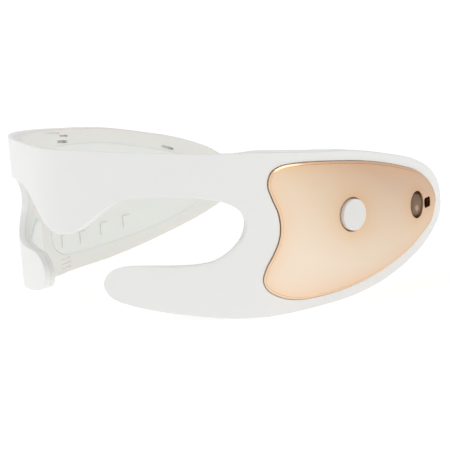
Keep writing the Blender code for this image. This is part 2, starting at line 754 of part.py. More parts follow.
def rear_shell():
    """The inner moulding, with a window and ledge for each temple's cover and a seat for each eye pad."""
    near = SPLIT_DEPTH + SEAM_GAP
    edge = [(inset, TEMPLE_THICKNESS - depth) for inset, depth in quarter_round(EDGE_ROUND, EDGE_STEPS)]
    rings = [(0, near)] + edge[::-1]
    past = TEMPLE_THICKNESS + OVERRUN
    cutters = []
    for side in (LEFT, RIGHT):
        window = side_outline(COVER_EDGE_SHARES, LEDGE_WIDTH)
        ledge = side_outline(COVER_EDGE_SHARES, -GAP)
        ledge_depth = TEMPLE_THICKNESS - COVER_THICKNESS - GAP
        cutters.append(on_side(slab(window, ((0, near - OVERRUN), (0, past))), side))
        cutters.append(on_side(slab(ledge, ((0, ledge_depth), (0, past))), side))
        seat = side_outline(EYE_PAD_EDGE_SHARES, -GAP)
        cutters.append(on_side(slab(seat, ((0, TEMPLE_THICKNESS - EYE_PAD_SEAT - GAP), (0, past))), side))
        stud = place_of(EYE_PAD_STUD_SHARE, side)
        cutters.append(disc(EYE_PAD_STUD_RADIUS + GAP, stud, near - OVERRUN, past))
        cutters.extend(on_side(cutter, side) for cutter in inner_grooves())
    body = cut(slab(band_outline(), rings), *cutters)
    finish("rear_shell", rests_level(folded(body)), INNER_LOOK)


def cover_marks():
    """Raised bracket marks in a row along the lower part of the cover."""
    shapes = []
    near, far = TEMPLE_THICKNESS - FINE_ROUND, TEMPLE_THICKNESS + MARK_RAISE
    for i in range(MARK_COUNT):
        along = (MARK_START_SHARE + i * MARK_STEP_SHARE) * BAND_LENGTH
        low = (MARK_LOW_SHARE + i * MARK_RISE_SHARE) * BAND_HEIGHT
        bracket = np.array((
            (0, 0), (MARK_STROKE, 0), (MARK_STROKE, MARK_HEIGHT - MARK_STROKE),
            (MARK_WIDTH, MARK_HEIGHT - MARK_STROKE), (MARK_WIDTH, MARK_HEIGHT), (0, MARK_HEIGHT),
        ))
        shapes.append(slab(bracket + (along, low), ((0, near), (0, far))))
    return shapes


def charge_pin_places():
    along, up = place_of(CHARGE_BOARD_PLACE_SHARE, RIGHT)
    return [(along, up + sign * CHARGE_PIN_SPACING / 2) for sign in (1, -1)]


def temple_cover(name, side):
    """The inset cover that closes a temple from inside."""
    outline = side_outline(COVER_EDGE_SHARES)
    near = TEMPLE_THICKNESS - COVER_THICKNESS
    rings = ((0, near), (0, TEMPLE_THICKNESS - FINE_ROUND), (FINE_ROUND, TEMPLE_THICKNESS))
    body = on_side(joined(slab(outline, rings), *cover_marks()), side)
    if side == RIGHT:
        holes = [
            disc(CHARGE_PIN_RADIUS + GAP, place, near - OVERRUN, TEMPLE_THICKNESS + OVERRUN)
            for place in charge_pin_places()
        ]
        body = cut(body, *holes)
    finish(name, folded(body), COVER_LOOK)


def accent_plate(name, side):
    """The raised metal plate on a temple, holed for the strap socket and, on the left, for the button."""
    outline = side_outline(PLATE_EDGE_SHARES)
    back = PLATE_THICKNESS - PLATE_RAISE
    rings = ((FINE_ROUND, -PLATE_RAISE), (0, FINE_ROUND - PLATE_RAISE), (0, back))
    socket = place_of(SOCKET_PLACE_SHARE, side)
    notch = rounded_box(NOTCH_LENGTH, NOTCH_HEIGHT, NOTCH_HEIGHT / 4)
    along, up = place_of(NOTCH_PLACE_SHARE, side)
    front, behind = -PLATE_RAISE - OVERRUN, back + OVERRUN
    cutters = [
        disc(SOCKET_RADIUS, socket, front, behind),
        moved(slab(notch, ((0, front), (0, behind))), along, 0, up),
    ]
    if side == LEFT:
        button = place_of(BUTTON_PLACE_SHARE, LEFT)
        cutters.append(disc(BUTTON_RADIUS + GAP, button, front, behind))
    finish(name, folded(cut(on_side(slab(outline, rings), side), *cutters)), ROSE_GOLD_LOOK)


def eye_pad(name, side):
    """The soft skin pad under an eye, with the stud that passes through the shell to its lead."""
    outline = side_outline(EYE_PAD_EDGE_SHARES)
    near = TEMPLE_THICKNESS - EYE_PAD_SEAT
    proud = near + EYE_PAD_THICKNESS
    rings = ((0, near), (0, proud - 2 * FINE_ROUND), (2 * FINE_ROUND, proud))
    lead_back = CABLE_DEPTH + CABLE_THICKNESS
    stud = disc(EYE_PAD_STUD_RADIUS, place_of(EYE_PAD_STUD_SHARE, LEFT), lead_back + GAP, near + FINE_ROUND)
    finish(name, folded(on_side(joined(slab(outline, rings), stud), side)), PAD_LOOK)


def cable_end(side):
    """How far along the band the cables reach: over the front edge of that side's board."""
    return abs(board_place(side)[0]) - board_size(side)[0] / 2 + CABLE_OVERLAP


def cable_rise(side, sign):
    """How high a cable's end lies: on the upper or lower part of that side's board."""
    height = board_size(side)[1]
    return board_place(side)[1] + sign * (height / 2 - CONNECTOR_HEIGHT / 2 - BOARD_CORNER)


def cable_slab(route, width):
    return slab(strip(route, width), ((0, CABLE_DEPTH), (0, CABLE_DEPTH + CABLE_THICKNESS)))


def flex_cable():
    """The flat cable over the brow that joins the two boards."""
    finish("flex_cable", folded(cable_slab(brow_route(), CABLE_WIDTH)), CABLE_LOOK)


def pad_lead(name, side):
    """The flat lead from a board to the stud of the eye pad."""
    finish(name, folded(on_side(cable_slab(lead_route(side), LEAD_WIDTH), side)), CABLE_LOOK)


def power_button():
    """The round button: a cap through the plate and shell, held behind the shell by its flange."""
    where = frame_at(*place_of(BUTTON_PLACE_SHARE, LEFT))
    top = -PLATE_RAISE - BUTTON_RAISE
    flange_top = FRONT_WALL + GAP
    flange_back = flange_top + BUTTON_FLANGE_THICKNESS
    inner = BUTTON_RADIUS - BUTTON_WALL
    dome = (BUTTON_DOME_SHARE * BUTTON_RADIUS, top + BUTTON_DOME_SHARE**2 * BUTTON_DOME)
    rim = [
        (BUTTON_RADIUS - inset, top + BUTTON_DOME + depth)
        for inset, depth in quarter_round(FINE_ROUND, EDGE_STEPS)
    ]
    profile = [(0, top), dome, *rim] + [
        (BUTTON_RADIUS, flange_top), (BUTTON_RADIUS + BUTTON_FLANGE, flange_top),
        (BUTTON_RADIUS + BUTTON_FLANGE, flange_back), (inner, flange_back), (inner, flange_top),
        (PLUNGER_RADIUS, flange_top), (PLUNGER_RADIUS, flange_back), (0, flange_back),
    ]
    finish("power_button", turned(profile, closed=False), BUTTON_LOOK, where)


def plunger_depths():
    """The depths of the switch plunger's two ends."""
    near = FRONT_WALL + GAP + BUTTON_FLANGE_THICKNESS + GAP
    return near, near + PLUNGER_LENGTH


def switch_plunger():
    """The small post that the button pushes into the switch."""
    where = frame_at(*place_of(BUTTON_PLACE_SHARE, LEFT))
    near, far = plunger_depths()
    profile = ((0, near), (PLUNGER_RADIUS, near), (PLUNGER_RADIUS, far), (0, far))
    finish("switch_plunger", turned(profile, closed=False, sides=SMALL_SIDES), BLACK_LOOK, where)


def switch_body():
    """The tact switch on the main board, with the well that its plunger moves in."""
    where = frame_at(*place_of(BUTTON_PLACE_SHARE, LEFT))
    far = BOARD_DEPTH - GAP
    near = far - SWITCH_HEIGHT
    well_floor = plunger_depths()[1] + BUTTON_TRAVEL + GAP
    box = slab(rounded_box(SWITCH_WIDTH, SWITCH_WIDTH, BOARD_CORNER), ((0, near), (0, far)))
    well = slab(circle(PLUNGER_RADIUS + GAP), ((0, near - OVERRUN), (0, well_floor)))
    finish("switch_body", cut(box, well), STEEL_LOOK, where)


def board(name, side):
    """A circuit board, holed for its two screws."""
    length, height = board_size(side)
    far = BOARD_DEPTH + BOARD_THICKNESS
    plate = slab(rounded_box(length, height, BOARD_CORNER), ((0, BOARD_DEPTH), (0, far)))
    holes = [
        disc(SCREW_RADIUS + GAP, (0, sign * board_screw_rise(side)), BOARD_DEPTH - OVERRUN, far + OVERRUN)
        for sign in (1, -1)
    ]
    finish(name, cut(plate, *holes), BOARD_LOOK, frame_at(*board_place(side)))


def board_screw(name, place):
    """A small pan-head screw with a cross-cut head."""
    head = BOARD_DEPTH + BOARD_THICKNESS + INNER_GAP
    top = head + SCREW_HEAD_HEIGHT
    start = SPLIT_DEPTH - SCREW_BITE + GAP
    profile = (
        (0, start), (0.5 * SCREW_RADIUS, start), (SCREW_RADIUS, start + SCREW_RADIUS), (SCREW_RADIUS, head),
        (SCREW_HEAD_RADIUS, head), (SCREW_HEAD_RADIUS, top - FINE_ROUND / 2),
        (SCREW_HEAD_RADIUS - FINE_ROUND / 2, top), (0, top),
    )
    body = turned(profile, closed=False, sides=SMALL_SIDES)
    slot = cross(2 * (SCREW_HEAD_RADIUS - FINE_ROUND), SCREW_SLOT_WIDTH)
    slot = slab(slot, ((0, top - SCREW_SLOT_DEPTH), (0, top + OVERRUN)))
    finish(name, cut(body, slot), STEEL_LOOK, frame_at(*place))


def connector(name, side, sign):
    """The socket on a board's outer face that a flat cable's end lies on."""
    along, up = board_place(side)
    length = board_size(side)[0]
    offset = -side * (length / 2 - CABLE_OVERLAP / 2)
    rise = cable_rise(side, sign) - up
    box = rounded_box(CONNECTOR_LENGTH, CONNECTOR_HEIGHT, BOARD_CORNER / 2, 1)
    far = BOARD_DEPTH - INNER_GAP
    body = slab(box, ((0, far - CONNECTOR_THICKNESS), (0, far)))
    finish(name, moved(body, offset, 0, rise), BLACK_LOOK, frame_at(along, up))


def charge_contact(name, place):
    """A gold pin from the charging board through the cover."""
    near = BOARD_DEPTH + BOARD_THICKNESS + INNER_GAP
    far = TEMPLE_THICKNESS - FINE_ROUND
    rim = CHARGE_PIN_RADIUS
    profile = ((0, near), (rim, near), (rim, far - FINE_ROUND / 2), (rim - FINE_ROUND / 2, far), (0, far))
    finish(name, turned(profile, closed=False, sides=SMALL_SIDES), GOLD_LOOK, frame_at(*place))


def battery():
    """The flat cell in the right temple, on a foam pad."""
    where = frame_at(*place_of(BATTERY_PLACE_SHARE, RIGHT))
    near, far = BATTERY_DEPTH, BATTERY_DEPTH + BATTERY_THICKNESS
    r = BATTERY_ROUND
    outline = rounded_box(BATTERY_LENGTH, BATTERY_HEIGHT, 2 * r)
    finish("battery", slab(outline, ((r, near), (0, near + r), (0, far - r), (r, far))), CELL_LOOK, where)
    outline = rounded_box(PAD_LENGTH, PAD_HEIGHT, r, 1)
    back = near - INNER_GAP
    finish("battery_pad", slab(outline, ((0, back - PAD_THICKNESS), (0, back))), FOAM_LOOK, where)


def motor(label, side):
    """A coin vibration motor: can, base, fixed pin and the eccentric rotor that turns on it."""
    where = frame_at(*place_of(MOTOR_PLACE_SHARE, side))
    top = FRONT_WALL + GAP
    low = top + MOTOR_HEIGHT
    inner = MOTOR_RADIUS - MOTOR_WALL
    can = (
        (0, top), (MOTOR_RADIUS - FINE_ROUND, top), (MOTOR_RADIUS, top + FINE_ROUND), (MOTOR_RADIUS, low),
        (inner, low), (inner, top + MOTOR_WALL), (0, top + MOTOR_WALL),
    )
    finish(f"motor_can_{label}", turned(can, closed=False), STEEL_LOOK, where)
    base_near = low + INNER_GAP
    base = ((0, base_near), (MOTOR_RADIUS, base_near), (MOTOR_RADIUS, base_near + MOTOR_BASE_THICKNESS))
    base += ((0, base_near + MOTOR_BASE_THICKNESS),)
    finish(f"motor_base_{label}", turned(base, closed=False), BLACK_LOOK, where)
    pin_near, pin_far = top + MOTOR_WALL + INNER_GAP, base_near - INNER_GAP
    pin = ((0, pin_near), (MOTOR_PIN_RADIUS, pin_near), (MOTOR_PIN_RADIUS, pin_far), (0, pin_far))
    finish(f"motor_pin_{label}", turned(pin, closed=False, sides=SMALL_SIDES), STEEL_LOOK, where)
    rotor(f"motor_rotor_{label}", where, (pin_near + pin_far) / 2)


def rotor(name, where, middle):
    """A half-disc weight with a round hub, bored for the pin."""
    reach = MOTOR_RADIUS - MOTOR_WALL - GAP
    near, far = middle - ROTOR_THICKNESS / 2, middle + ROTOR_THICKNESS / 2
    half_turn = np.linspace(0, math.pi, ROUND_SIDES // 2 + 1)
    arc = np.stack([np.cos(half_turn), np.sin(half_turn)], axis=1)
    outline = np.concatenate([reach * -arc, ROTOR_HUB_RADIUS * arc])
    bore = circle((MOTOR_PIN_RADIUS + MOTOR_RUNNING_GAP) / math.cos(math.pi / SMALL_SIDES))
    hole = slab(bore, ((0, near - OVERRUN), (0, far + OVERRUN)))
    finish(name, cut(slab(outline, ((0, near), (0, far))), hole), STEEL_LOOK, where)


def strap_socket(label, side):
    """The flanged metal cup that takes a strap's stud, and the ring nut that clamps it from inside."""
    where = frame_at(*place_of(SOCKET_PLACE_SHARE, side))
    rim = PLATE_THICKNESS - PLATE_RAISE + GAP
    barrel = SOCKET_RADIUS + SOCKET_WALL
    floor = SOCKET_FLOOR_DEPTH
    back = floor + SOCKET_FLOOR_HOLLOW + SOCKET_FLOOR_THICKNESS
    flange_back = rim + SOCKET_FLANGE_THICKNESS
    dish = (SOCKET_DISH_SHARE * SOCKET_RADIUS, floor + (1 - SOCKET_DISH_SHARE**2) * SOCKET_FLOOR_HOLLOW)
    profile = (
        (0, floor + SOCKET_FLOOR_HOLLOW), dish,
        (SOCKET_RADIUS - FINE_ROUND, floor), (SOCKET_RADIUS, floor - FINE_ROUND),
        (SOCKET_RADIUS, rim), (barrel + SOCKET_FLANGE, rim), (barrel + SOCKET_FLANGE, flange_back),
        (barrel, flange_back), (barrel, back), (0, back),
    )
    finish(f"strap_socket_{label}", turned(profile, closed=False), SOCKET_LOOK, where)
    bore = barrel + INNER_GAP
    outer = nut_radius()
    near = FRONT_WALL + GAP
    nut = (
        (bore, near), (outer, near), (outer, near + NUT_HEIGHT - FINE_ROUND),
        (outer - FINE_ROUND, near + NUT_HEIGHT), (bore, near + NUT_HEIGHT),
    )
    finish(f"socket_nut_{label}", turned(nut, closed=True), STEEL_LOOK, where)


def stand():
    """Leans the mask back as it rests, with its lower edge at height 0 and its middle over the origin."""
    MASK.rotation_euler = (-REST_TILT, 0, 0)
    bpy.context.view_layer.update()
    shells = [bpy.data.objects[name] for name in ("front_shell", "rear_shell")]
    corners = np.array([shell.matrix_world @ v.co for shell in shells for v in shell.data.vertices])
    low, high = corners.min(axis=0), corners.max(axis=0)
    MASK.location = (0, -(low[1] + high[1]) / 2, -low[2])
    bpy.context.view_layer.update()


for old in list(bpy.data.objects):
    bpy.data.objects.remove(old)
MASK = bpy.data.objects.new("mask", None)
bpy.context.scene.collection.objects.link(MASK)

front_shell()
rear_shell()
power_button()
switch_plunger()
switch_body()
flex_cable()
battery()
board("main_board", LEFT)
board("charge_board", RIGHT)
for number, pin_place in enumerate(charge_pin_places(), 1):
    charge_contact(f"charge_contact_{number}", pin_place)
for label, side in SIDES.items():
    temple_cover(f"temple_cover_{label}", side)
    accent_plate(f"accent_plate_{label}", side)
    eye_pad(f"eye_pad_{label}", side)
    pad_lead(f"pad_lead_{label}", side)
    motor(label, side)
    strap_socket(label, side)
    connector(f"cable_connector_{label}", side, 1)
    connector(f"lead_connector_{label}", side, -1)
    for number, screw_place in enumerate(screw_places(side), 1):
        board_screw(f"board_screw_{label}_{number}", screw_place)
stand()
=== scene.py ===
"""A wrap-round eye massager: a pale band from temple to temple, with rose gold plates on the temples.

Each moulded piece is a surface on the unrolled band, at (along, depth, up): along the band from the nose,
inwards from its outer face, and up. An edge profile is carried round each outline, the faces between the
outlines are filled, and the whole is bent round the head by one formula. Lengths are in metres, and a share
is a part of the band's length or height.
"""

import math

import bpy
import numpy as np
from mathutils import Matrix, Vector
from mathutils.geometry import delaunay_2d_cdt


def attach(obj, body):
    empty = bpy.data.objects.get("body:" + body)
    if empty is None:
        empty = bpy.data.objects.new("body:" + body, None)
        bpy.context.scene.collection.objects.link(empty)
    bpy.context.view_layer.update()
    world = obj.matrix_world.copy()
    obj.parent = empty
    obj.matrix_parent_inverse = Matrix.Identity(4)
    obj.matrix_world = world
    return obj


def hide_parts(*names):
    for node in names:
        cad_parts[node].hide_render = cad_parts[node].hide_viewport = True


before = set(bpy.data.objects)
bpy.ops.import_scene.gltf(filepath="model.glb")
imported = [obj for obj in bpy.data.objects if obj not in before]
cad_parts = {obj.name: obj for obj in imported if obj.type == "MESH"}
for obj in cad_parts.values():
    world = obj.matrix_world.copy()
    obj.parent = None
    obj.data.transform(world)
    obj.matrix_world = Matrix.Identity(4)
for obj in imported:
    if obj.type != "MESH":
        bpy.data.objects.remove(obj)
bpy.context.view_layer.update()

# The stand: the mask rests on the flats of its lower edge and leans back a little. The nose foot is where the
# unrolled band's origin stands.
REST_LEAN = math.radians(-1.8)
NOSE_FOOT = Vector((0, -0.07895, 0.00127))
standing = Matrix.Translation(NOSE_FOOT) @ Matrix.Rotation(REST_LEAN, 4, "X")

# The camera: a long lens at the left front, a little above. Its place and aim are given before the lean.
CAMERA_PLACE = Vector((0.8122, -0.6237, 0.2275))
CAMERA_AIM = Vector((0.0518, 0.0454, 0.0355))
CAMERA_ROLL = math.radians(-4.68)
CAMERA_LENS_MM = 201.15
SENSOR_MM = 36.0


def new_object(name, data):
    """A new object in the scene."""
    made = bpy.data.objects.new(name, data)
    bpy.context.scene.collection.objects.link(made)
    return made


camera_data = bpy.data.cameras.new("camera")
camera_data.lens = CAMERA_LENS_MM
camera_data.sensor_width = SENSOR_MM
camera = new_object("camera", camera_data)
aim = (CAMERA_AIM - CAMERA_PLACE).to_track_quat("-Z", "Y").to_matrix().to_4x4()
camera.matrix_world = standing @ Matrix.Translation(CAMERA_PLACE) @ aim @ Matrix.Rotation(CAMERA_ROLL, 4, "Z")
bpy.context.scene.camera = camera
bpy.context.scene.view_settings.view_transform = "Standard"


# The floor and the light: a white table and a white room with soft lamps, as for a catalogue photograph. To
# the camera and in reflections the room is plain white, and the floor keeps the mask's soft shadow.
WHITE = (1, 1, 1, 1)
FLOOR_REACH = 6.0
FLOOR_COLOUR = (0.90, 0.90, 0.90, 1)
FLOOR_ROUGHNESS = 0.9
FLOOR_GLOW = (0.38, 0.38, 0.38)
FLOOR_GLOW_SEEN = (0.42, 0.42, 0.42)
ROOM_SEEN = 1.0
ROOM_LIGHT = 0.52
LAMPS = {
    "front_lamp": ((-1.1, -1.7, 1.5), 1.6, 14.0),
    "side_lamp": ((2.1, 0.2, 1.1), 1.6, 11.5),
}


class Value:
    """A shader's number: Python arithmetic on it adds the Math nodes."""

    def __init__(self, shader, socket):
        self.shader = shader
        self.socket = socket

    def __add__(self, other):
        return self.shader.math("ADD", self, other)

    def __sub__(self, other):
        return self.shader.math("SUBTRACT", self, other)

    def __rsub__(self, other):
        return self.shader.math("SUBTRACT", other, self)

    def __mul__(self, other):
        return self.shader.math("MULTIPLY", self, other)

    def clamped(self):
        return self.shader.math("ADD", self, 0, clamp=True)

    __radd__ = __add__
    __rmul__ = __mul__


class Shader:
    """One node tree. node() adds a node with its settings and inputs, and gives its outputs by name."""

    def __init__(self, owner):
        owner.use_nodes = True
        self.owner = owner
        self.tree = owner.node_tree
        self.tree.nodes.clear()

    def node(self, kind, settings=None, inputs=None):
        made = self.tree.nodes.new(kind)
        for setting, value in (settings or {}).items():
            setattr(made, setting, value)
        for key, value in (inputs or {}).items():
            if isinstance(value, Value):
                self.tree.links.new(value.socket, made.inputs[key])
            else:
                made.inputs[key].default_value = value
        return {socket.name: Value(self, socket) for socket in made.outputs if socket.enabled}

    def math(self, operation, *values, clamp=False):
        settings = {"operation": operation, "use_clamp": clamp}
        return self.node("ShaderNodeMath", settings, dict(enumerate(values)))["Value"]

    def blend(self, share, first, second, kind="MIX"):
        """The second colour over the first by a share. Each is a Value or three numbers."""
        first, second = (c if isinstance(c, Value) else (*c, 1) for c in (first, second))
        settings = {"data_type": "RGBA", "blend_type": kind}
        return self.node("ShaderNodeMix", settings, {"Factor": share, "A": first, "B": second})["Result"]

    def finished(self, inputs):
        """The material, closed by one surface with these inputs."""
        surface = self.node("ShaderNodeBsdfPrincipled", None, inputs)["BSDF"]
        self.node("ShaderNodeOutputMaterial", None, {"Surface": surface})
        return self.owner


room = Shader(bpy.data.worlds.new("room"))
bpy.context.scene.world = room.owner
rays = room.node("ShaderNodeLightPath")
seen = (rays["Is Camera Ray"] + rays["Is Glossy Ray"] + rays["Is Transmission Ray"]).clamped()
light = room.node("ShaderNodeBackground", None, {"Color": WHITE, "Strength": ROOM_LIGHT})["Background"]
white = room.node("ShaderNodeBackground", None, {"Color": WHITE, "Strength": ROOM_SEEN})["Background"]
mixed = room.node("ShaderNodeMixShader", None, {0: seen, 1: light, 2: white})["Shader"]
room.node("ShaderNodeOutputWorld", None, {"Surface": mixed})

for lamp_name, (place, size, power) in LAMPS.items():
    lamp_data = bpy.data.lights.new(lamp_name, "AREA")
    lamp_data.size = size
    lamp_data.energy = power
    lamp = new_object(lamp_name, lamp_data)
    lamp.location = place
    lamp.rotation_euler = (-Vector(place)).to_track_quat("-Z", "Y").to_euler()

table = Shader(bpy.data.materials.new("white_table"))
glow = table.blend(table.node("ShaderNodeLightPath")["Is Camera Ray"], FLOOR_GLOW, FLOOR_GLOW_SEEN)
white_table = table.finished({
    "Base Color": FLOOR_COLOUR,
    "Roughness": FLOOR_ROUGHNESS,
    "Emission Color": glow,
    "Emission Strength": 1.0,
})
floor_mesh = bpy.data.meshes.new("floor")
corners = np.array([(-1, -1, 0), (1, -1, 0), (1, 1, 0), (-1, 1, 0)]) * FLOOR_REACH
floor_mesh.from_pydata(corners.tolist(), [], [(0, 1, 2, 3)])
floor_mesh.materials.append(white_table)
floor = new_object("floor", floor_mesh)


# The front moulding: one glossy pale plastic shell from temple to temple, with the brow, the nose lobe and
# the hooks under the eyes. It is injection moulded to its bend, flat-faced with small rounds along its edges.
LEFT, RIGHT = 1, -1
BAND_LENGTH = 0.2083
BAND_HEIGHT = 0.0712
BROW_THICKNESS = 0.0050
TEMPLE_THICKNESS = 0.0095
THICKEN_SHARES = (0.33, 0.50)
PLAN_RADII = (0.0425, 0.650, 0.285, 0.0510, 0.0465, 0.0735, 0.118, 0.154, 0.217)
BEND_SHARES = (0, 0.154, 0.240, 0.326, 0.394, 0.480, 0.566, 0.624, 1)
PLAN_STEPS = 4000
HOOK_TUCK = 0.0012
TUCK_ALONG_SHARES = (0.44, 0.26)
TUCK_UP_SHARES = (0.50, 0.34)


def plan_curve():
    """The outer face from above: the curvature runs evenly between the named radii, and is summed twice."""
    run = np.linspace(0, BAND_LENGTH, PLAN_STEPS)
    curvature = np.interp(run, np.array(BEND_SHARES) * BAND_LENGTH, 1 / np.array(PLAN_RADII))
    step = run[1] - run[0]

    def summed(rate):
        return np.concatenate([[0], np.cumsum((rate[1:] + rate[:-1]) / 2 * step)])

    turn = summed(curvature)
    return run, turn, summed(np.cos(turn)), summed(np.sin(turn))


run_fine, turn_fine, plan_x, plan_y = plan_curve()


def smooth_step(value, start, end):
    """0 at start, 1 at end and flat past both: 3 s s - 2 s s s, with s the share of the way between them."""
    share = np.clip((value - start) / (end - start), 0, 1)
    return share * share * (3 - 2 * share)


def moved(points, where):
    """Points turned and shifted by a matrix."""
    return points @ np.array(where.to_3x3()).T + np.array(where.translation)


def bent(points):
    """Unrolled points carried to the standing mask: along the plan curve, and inwards along its normal by the
    depth times the thickness there. Under the eyes the band is tucked in a little further, by a smooth step.
    What would go below the table is cut level: those are the flats that the mask rests on."""
    along, depth, up = np.asarray(points, float).T
    run = np.abs(along)
    thin = BROW_THICKNESS / TEMPLE_THICKNESS
    thick = thin + (1 - thin) * smooth_step(run / BAND_LENGTH, *THICKEN_SHARES)
    tuck = smooth_step(run / BAND_LENGTH, *TUCK_ALONG_SHARES) * smooth_step(up / BAND_HEIGHT, *TUCK_UP_SHARES)
    inward = depth * thick + HOOK_TUCK * tuck
    turn = np.interp(run, run_fine, turn_fine)
    x = np.interp(run, run_fine, plan_x) - np.sin(turn) * inward
    y = np.interp(run, run_fine, plan_y) + np.cos(turn) * inward
    place = moved(np.stack([np.where(along < 0, -x, x), y, up], axis=1), standing)
    place[:, 2] = np.maximum(place[:, 2], 0)
    return place


# The front moulding's outline, and the outlines cut in it: smooth curves through places given in shares,
# circles and boxes.
EDGE_STEP = 0.0009
SPAN_STEPS = 24
CORNER_POINTS = 6
BAND_EDGE_SHARES = (
    (0.000, 1.000), (0.095, 0.997), (0.185, 0.990), (0.295, 0.978), (0.406, 0.959), (0.490, 0.934),
    (0.565, 0.905), (0.675, 0.860), (0.787, 0.782), (0.884, 0.699), (0.9585, 0.595), (0.9925, 0.497),
    (1.000, 0.400), (0.990, 0.312), (0.961, 0.252), (0.902, 0.178), (0.827, 0.114), (0.740, 0.057),
    (0.638, 0.017), (0.531, 0.000), (0.421, 0.003), (0.301, 0.032), (0.213, 0.061), (0.1485, 0.0965),
    (0.1125, 0.1365), (0.0970, 0.205), (0.1095, 0.277), (0.140, 0.319), (0.180, 0.327), (0.278, 0.322),
    (0.347, 0.357), (0.398, 0.463), (0.4095, 0.551), (0.398, 0.629), (0.374, 0.678), (0.331, 0.712),
    (0.260, 0.729), (0.183, 0.724), (0.144, 0.697), (0.104, 0.631), (0.065, 0.556), (0.030, 0.510),
    (0.000, 0.499),
)


def curve_through(points, before, after):
    """A centripetal Catmull-Rom curve. Knots stand apart by the square root of the distance between points,
    and each span blends the lines through its four nearest points by the share of the way between knots."""
    line = np.concatenate([[before], points, [after]])
    made = []
    for i in range(len(points) - 1):
        near = line[i : i + 4]
        knots = np.concatenate([[0], np.cumsum(np.linalg.norm(np.diff(near, axis=0), axis=1) ** 0.5)])
        place = np.linspace(knots[1], knots[2], SPAN_STEPS, endpoint=False)[:, None]
        level = [near[j][None] for j in range(4)]
        for order, low in ((1, 0), (2, 0), (1, 1)):
            level = [
                ((knots[low + j + order] - place) * level[j] + (place - knots[low + j]) * level[j + 1])
                / (knots[low + j + order] - knots[low + j])
                for j in range(len(level) - 1)
            ]
        made.append(level[0])
    return np.concatenate(made + [points[-1:]])


def evenly(line, step):
    """Points at equal steps of length along a line, its two ends kept."""
    length = np.concatenate([[0], np.cumsum(np.linalg.norm(np.diff(line, axis=0), axis=1))])
    picks = np.linspace(0, length[-1], math.ceil(length[-1] / step) + 1)
    return np.stack([np.interp(picks, length, line[:, axis]) for axis in (0, 1)], axis=1)


def anticlockwise(loop):
    """The loop in the order that gives it a positive area: the sum of x y' - y x' over its edges."""
    x, y = loop.T
    return loop if np.sum(x * np.roll(y, -1) - y * np.roll(x, -1)) > 0 else loop[::-1]


def band_loop():
    """The band's whole edge: the left half's curve from brow to nose lobe, and its mirror back again."""
    half = np.array(BAND_EDGE_SHARES) * (BAND_LENGTH, BAND_HEIGHT)
    half = evenly(curve_through(half, half[1] * (-1, 1), half[-2] * (-1, 1)), EDGE_STEP)
    return anticlockwise(np.concatenate([half, (half * (-1, 1))[-2:0:-1]]))


def side_loop(shares, side, step=EDGE_STEP):
    """A closed smooth curve through points given as shares of the band's length and height, on one side."""
    points = np.array(shares) * (BAND_LENGTH, BAND_HEIGHT)
    loop = curve_through(np.concatenate([points, points[:1]]), points[-1], points[1])
    return anticlockwise(evenly(loop, step)[:-1] * (side, 1))


def place_of(share, side):
    """The place (along, up) of a share on one side."""
    return np.array((side * share[0] * BAND_LENGTH, share[1] * BAND_HEIGHT))


def circle_loop(radius, place, step=EDGE_STEP / 2):
    """Points at even angles round a place, at most a step apart."""
    count = math.ceil(2 * math.pi * radius / step)
    angle = np.arange(count) * 2 * math.pi / count
    return place + radius * np.stack([np.cos(angle), np.sin(angle)], axis=1)


def box_loop(size, corner, place, slope=0.0, step=EDGE_STEP / 2):
    """A rectangle with round corners: straight runs and quarter circles, turned to the slope."""
    angle = np.linspace(0, math.pi / 2, CORNER_POINTS)
    quarter = corner * np.stack([np.cos(angle), np.sin(angle)], axis=1)
    loop = []
    for turn in range(4):
        c, s = round(math.cos(turn * math.pi / 2)), round(math.sin(turn * math.pi / 2))
        reach = np.array((size[0] / 2 - corner, size[1] / 2 - corner)) * ((c - s), (c + s))
        loop.append(quarter @ np.array(((c, s), (-s, c))) + reach)
    loop = np.concatenate(loop + [loop[0][:1]])
    loop = evenly(loop, step)[:-1] @ (np.array(((1, slope), (-slope, 1))) / math.hypot(1, slope))
    return anticlockwise(loop) + place


# The front moulding's edges: small rounds, and slopes behind the front face over the brow and on the hooks.
SPLIT_DEPTH = 0.0050
EDGE_ROUND = 0.0007
ROUND_STEPS = 4
FLAT_RING = 1.3
BROW_SLOPE = 0.0028
BROW_SLOPE_SHARES = (0.46, 0.30)
BROW_UP_SHARE = 0.85
HOOK_SLOPE = 0.0008
HOOK_SLOPE_SHARES = (0.27, 0.17)
HOOK_UP_SHARE = 0.40


def edge_slope(outline, depth):
    """How far each point of the band's outline is drawn in at a depth. Over the brow and round the hooks'
    tips the edge slopes away behind the front face, so that it looks thin. Both slopes fade out by a smooth
    step, and they grow evenly with depth."""
    along, up = np.abs(outline[:, 0]) / BAND_LENGTH, outline[:, 1] / BAND_HEIGHT
    slope = BROW_SLOPE * (up > BROW_UP_SHARE) * smooth_step(along, *BROW_SLOPE_SHARES)
    slope += HOOK_SLOPE * (up < HOOK_UP_SHARE) * smooth_step(along, *HOOK_SLOPE_SHARES)
    return slope * max(0, depth - EDGE_ROUND) / (TEMPLE_THICKNESS - EDGE_ROUND)


def drawn_in(loop, inset):
    """The loop moved to its left by inset, one for all or one for each point, along the mean of each corner's
    two edge normals."""
    edge = np.roll(loop, -1, axis=0) - loop
    edge /= np.linalg.norm(edge, axis=1)[:, None]
    normal = np.stack([-edge[:, 1], edge[:, 0]], axis=1)
    mean = normal + np.roll(normal, 1, axis=0)
    mean /= np.sum(mean * normal, axis=1)[:, None]
    return loop + mean * np.reshape(inset, (-1, 1))


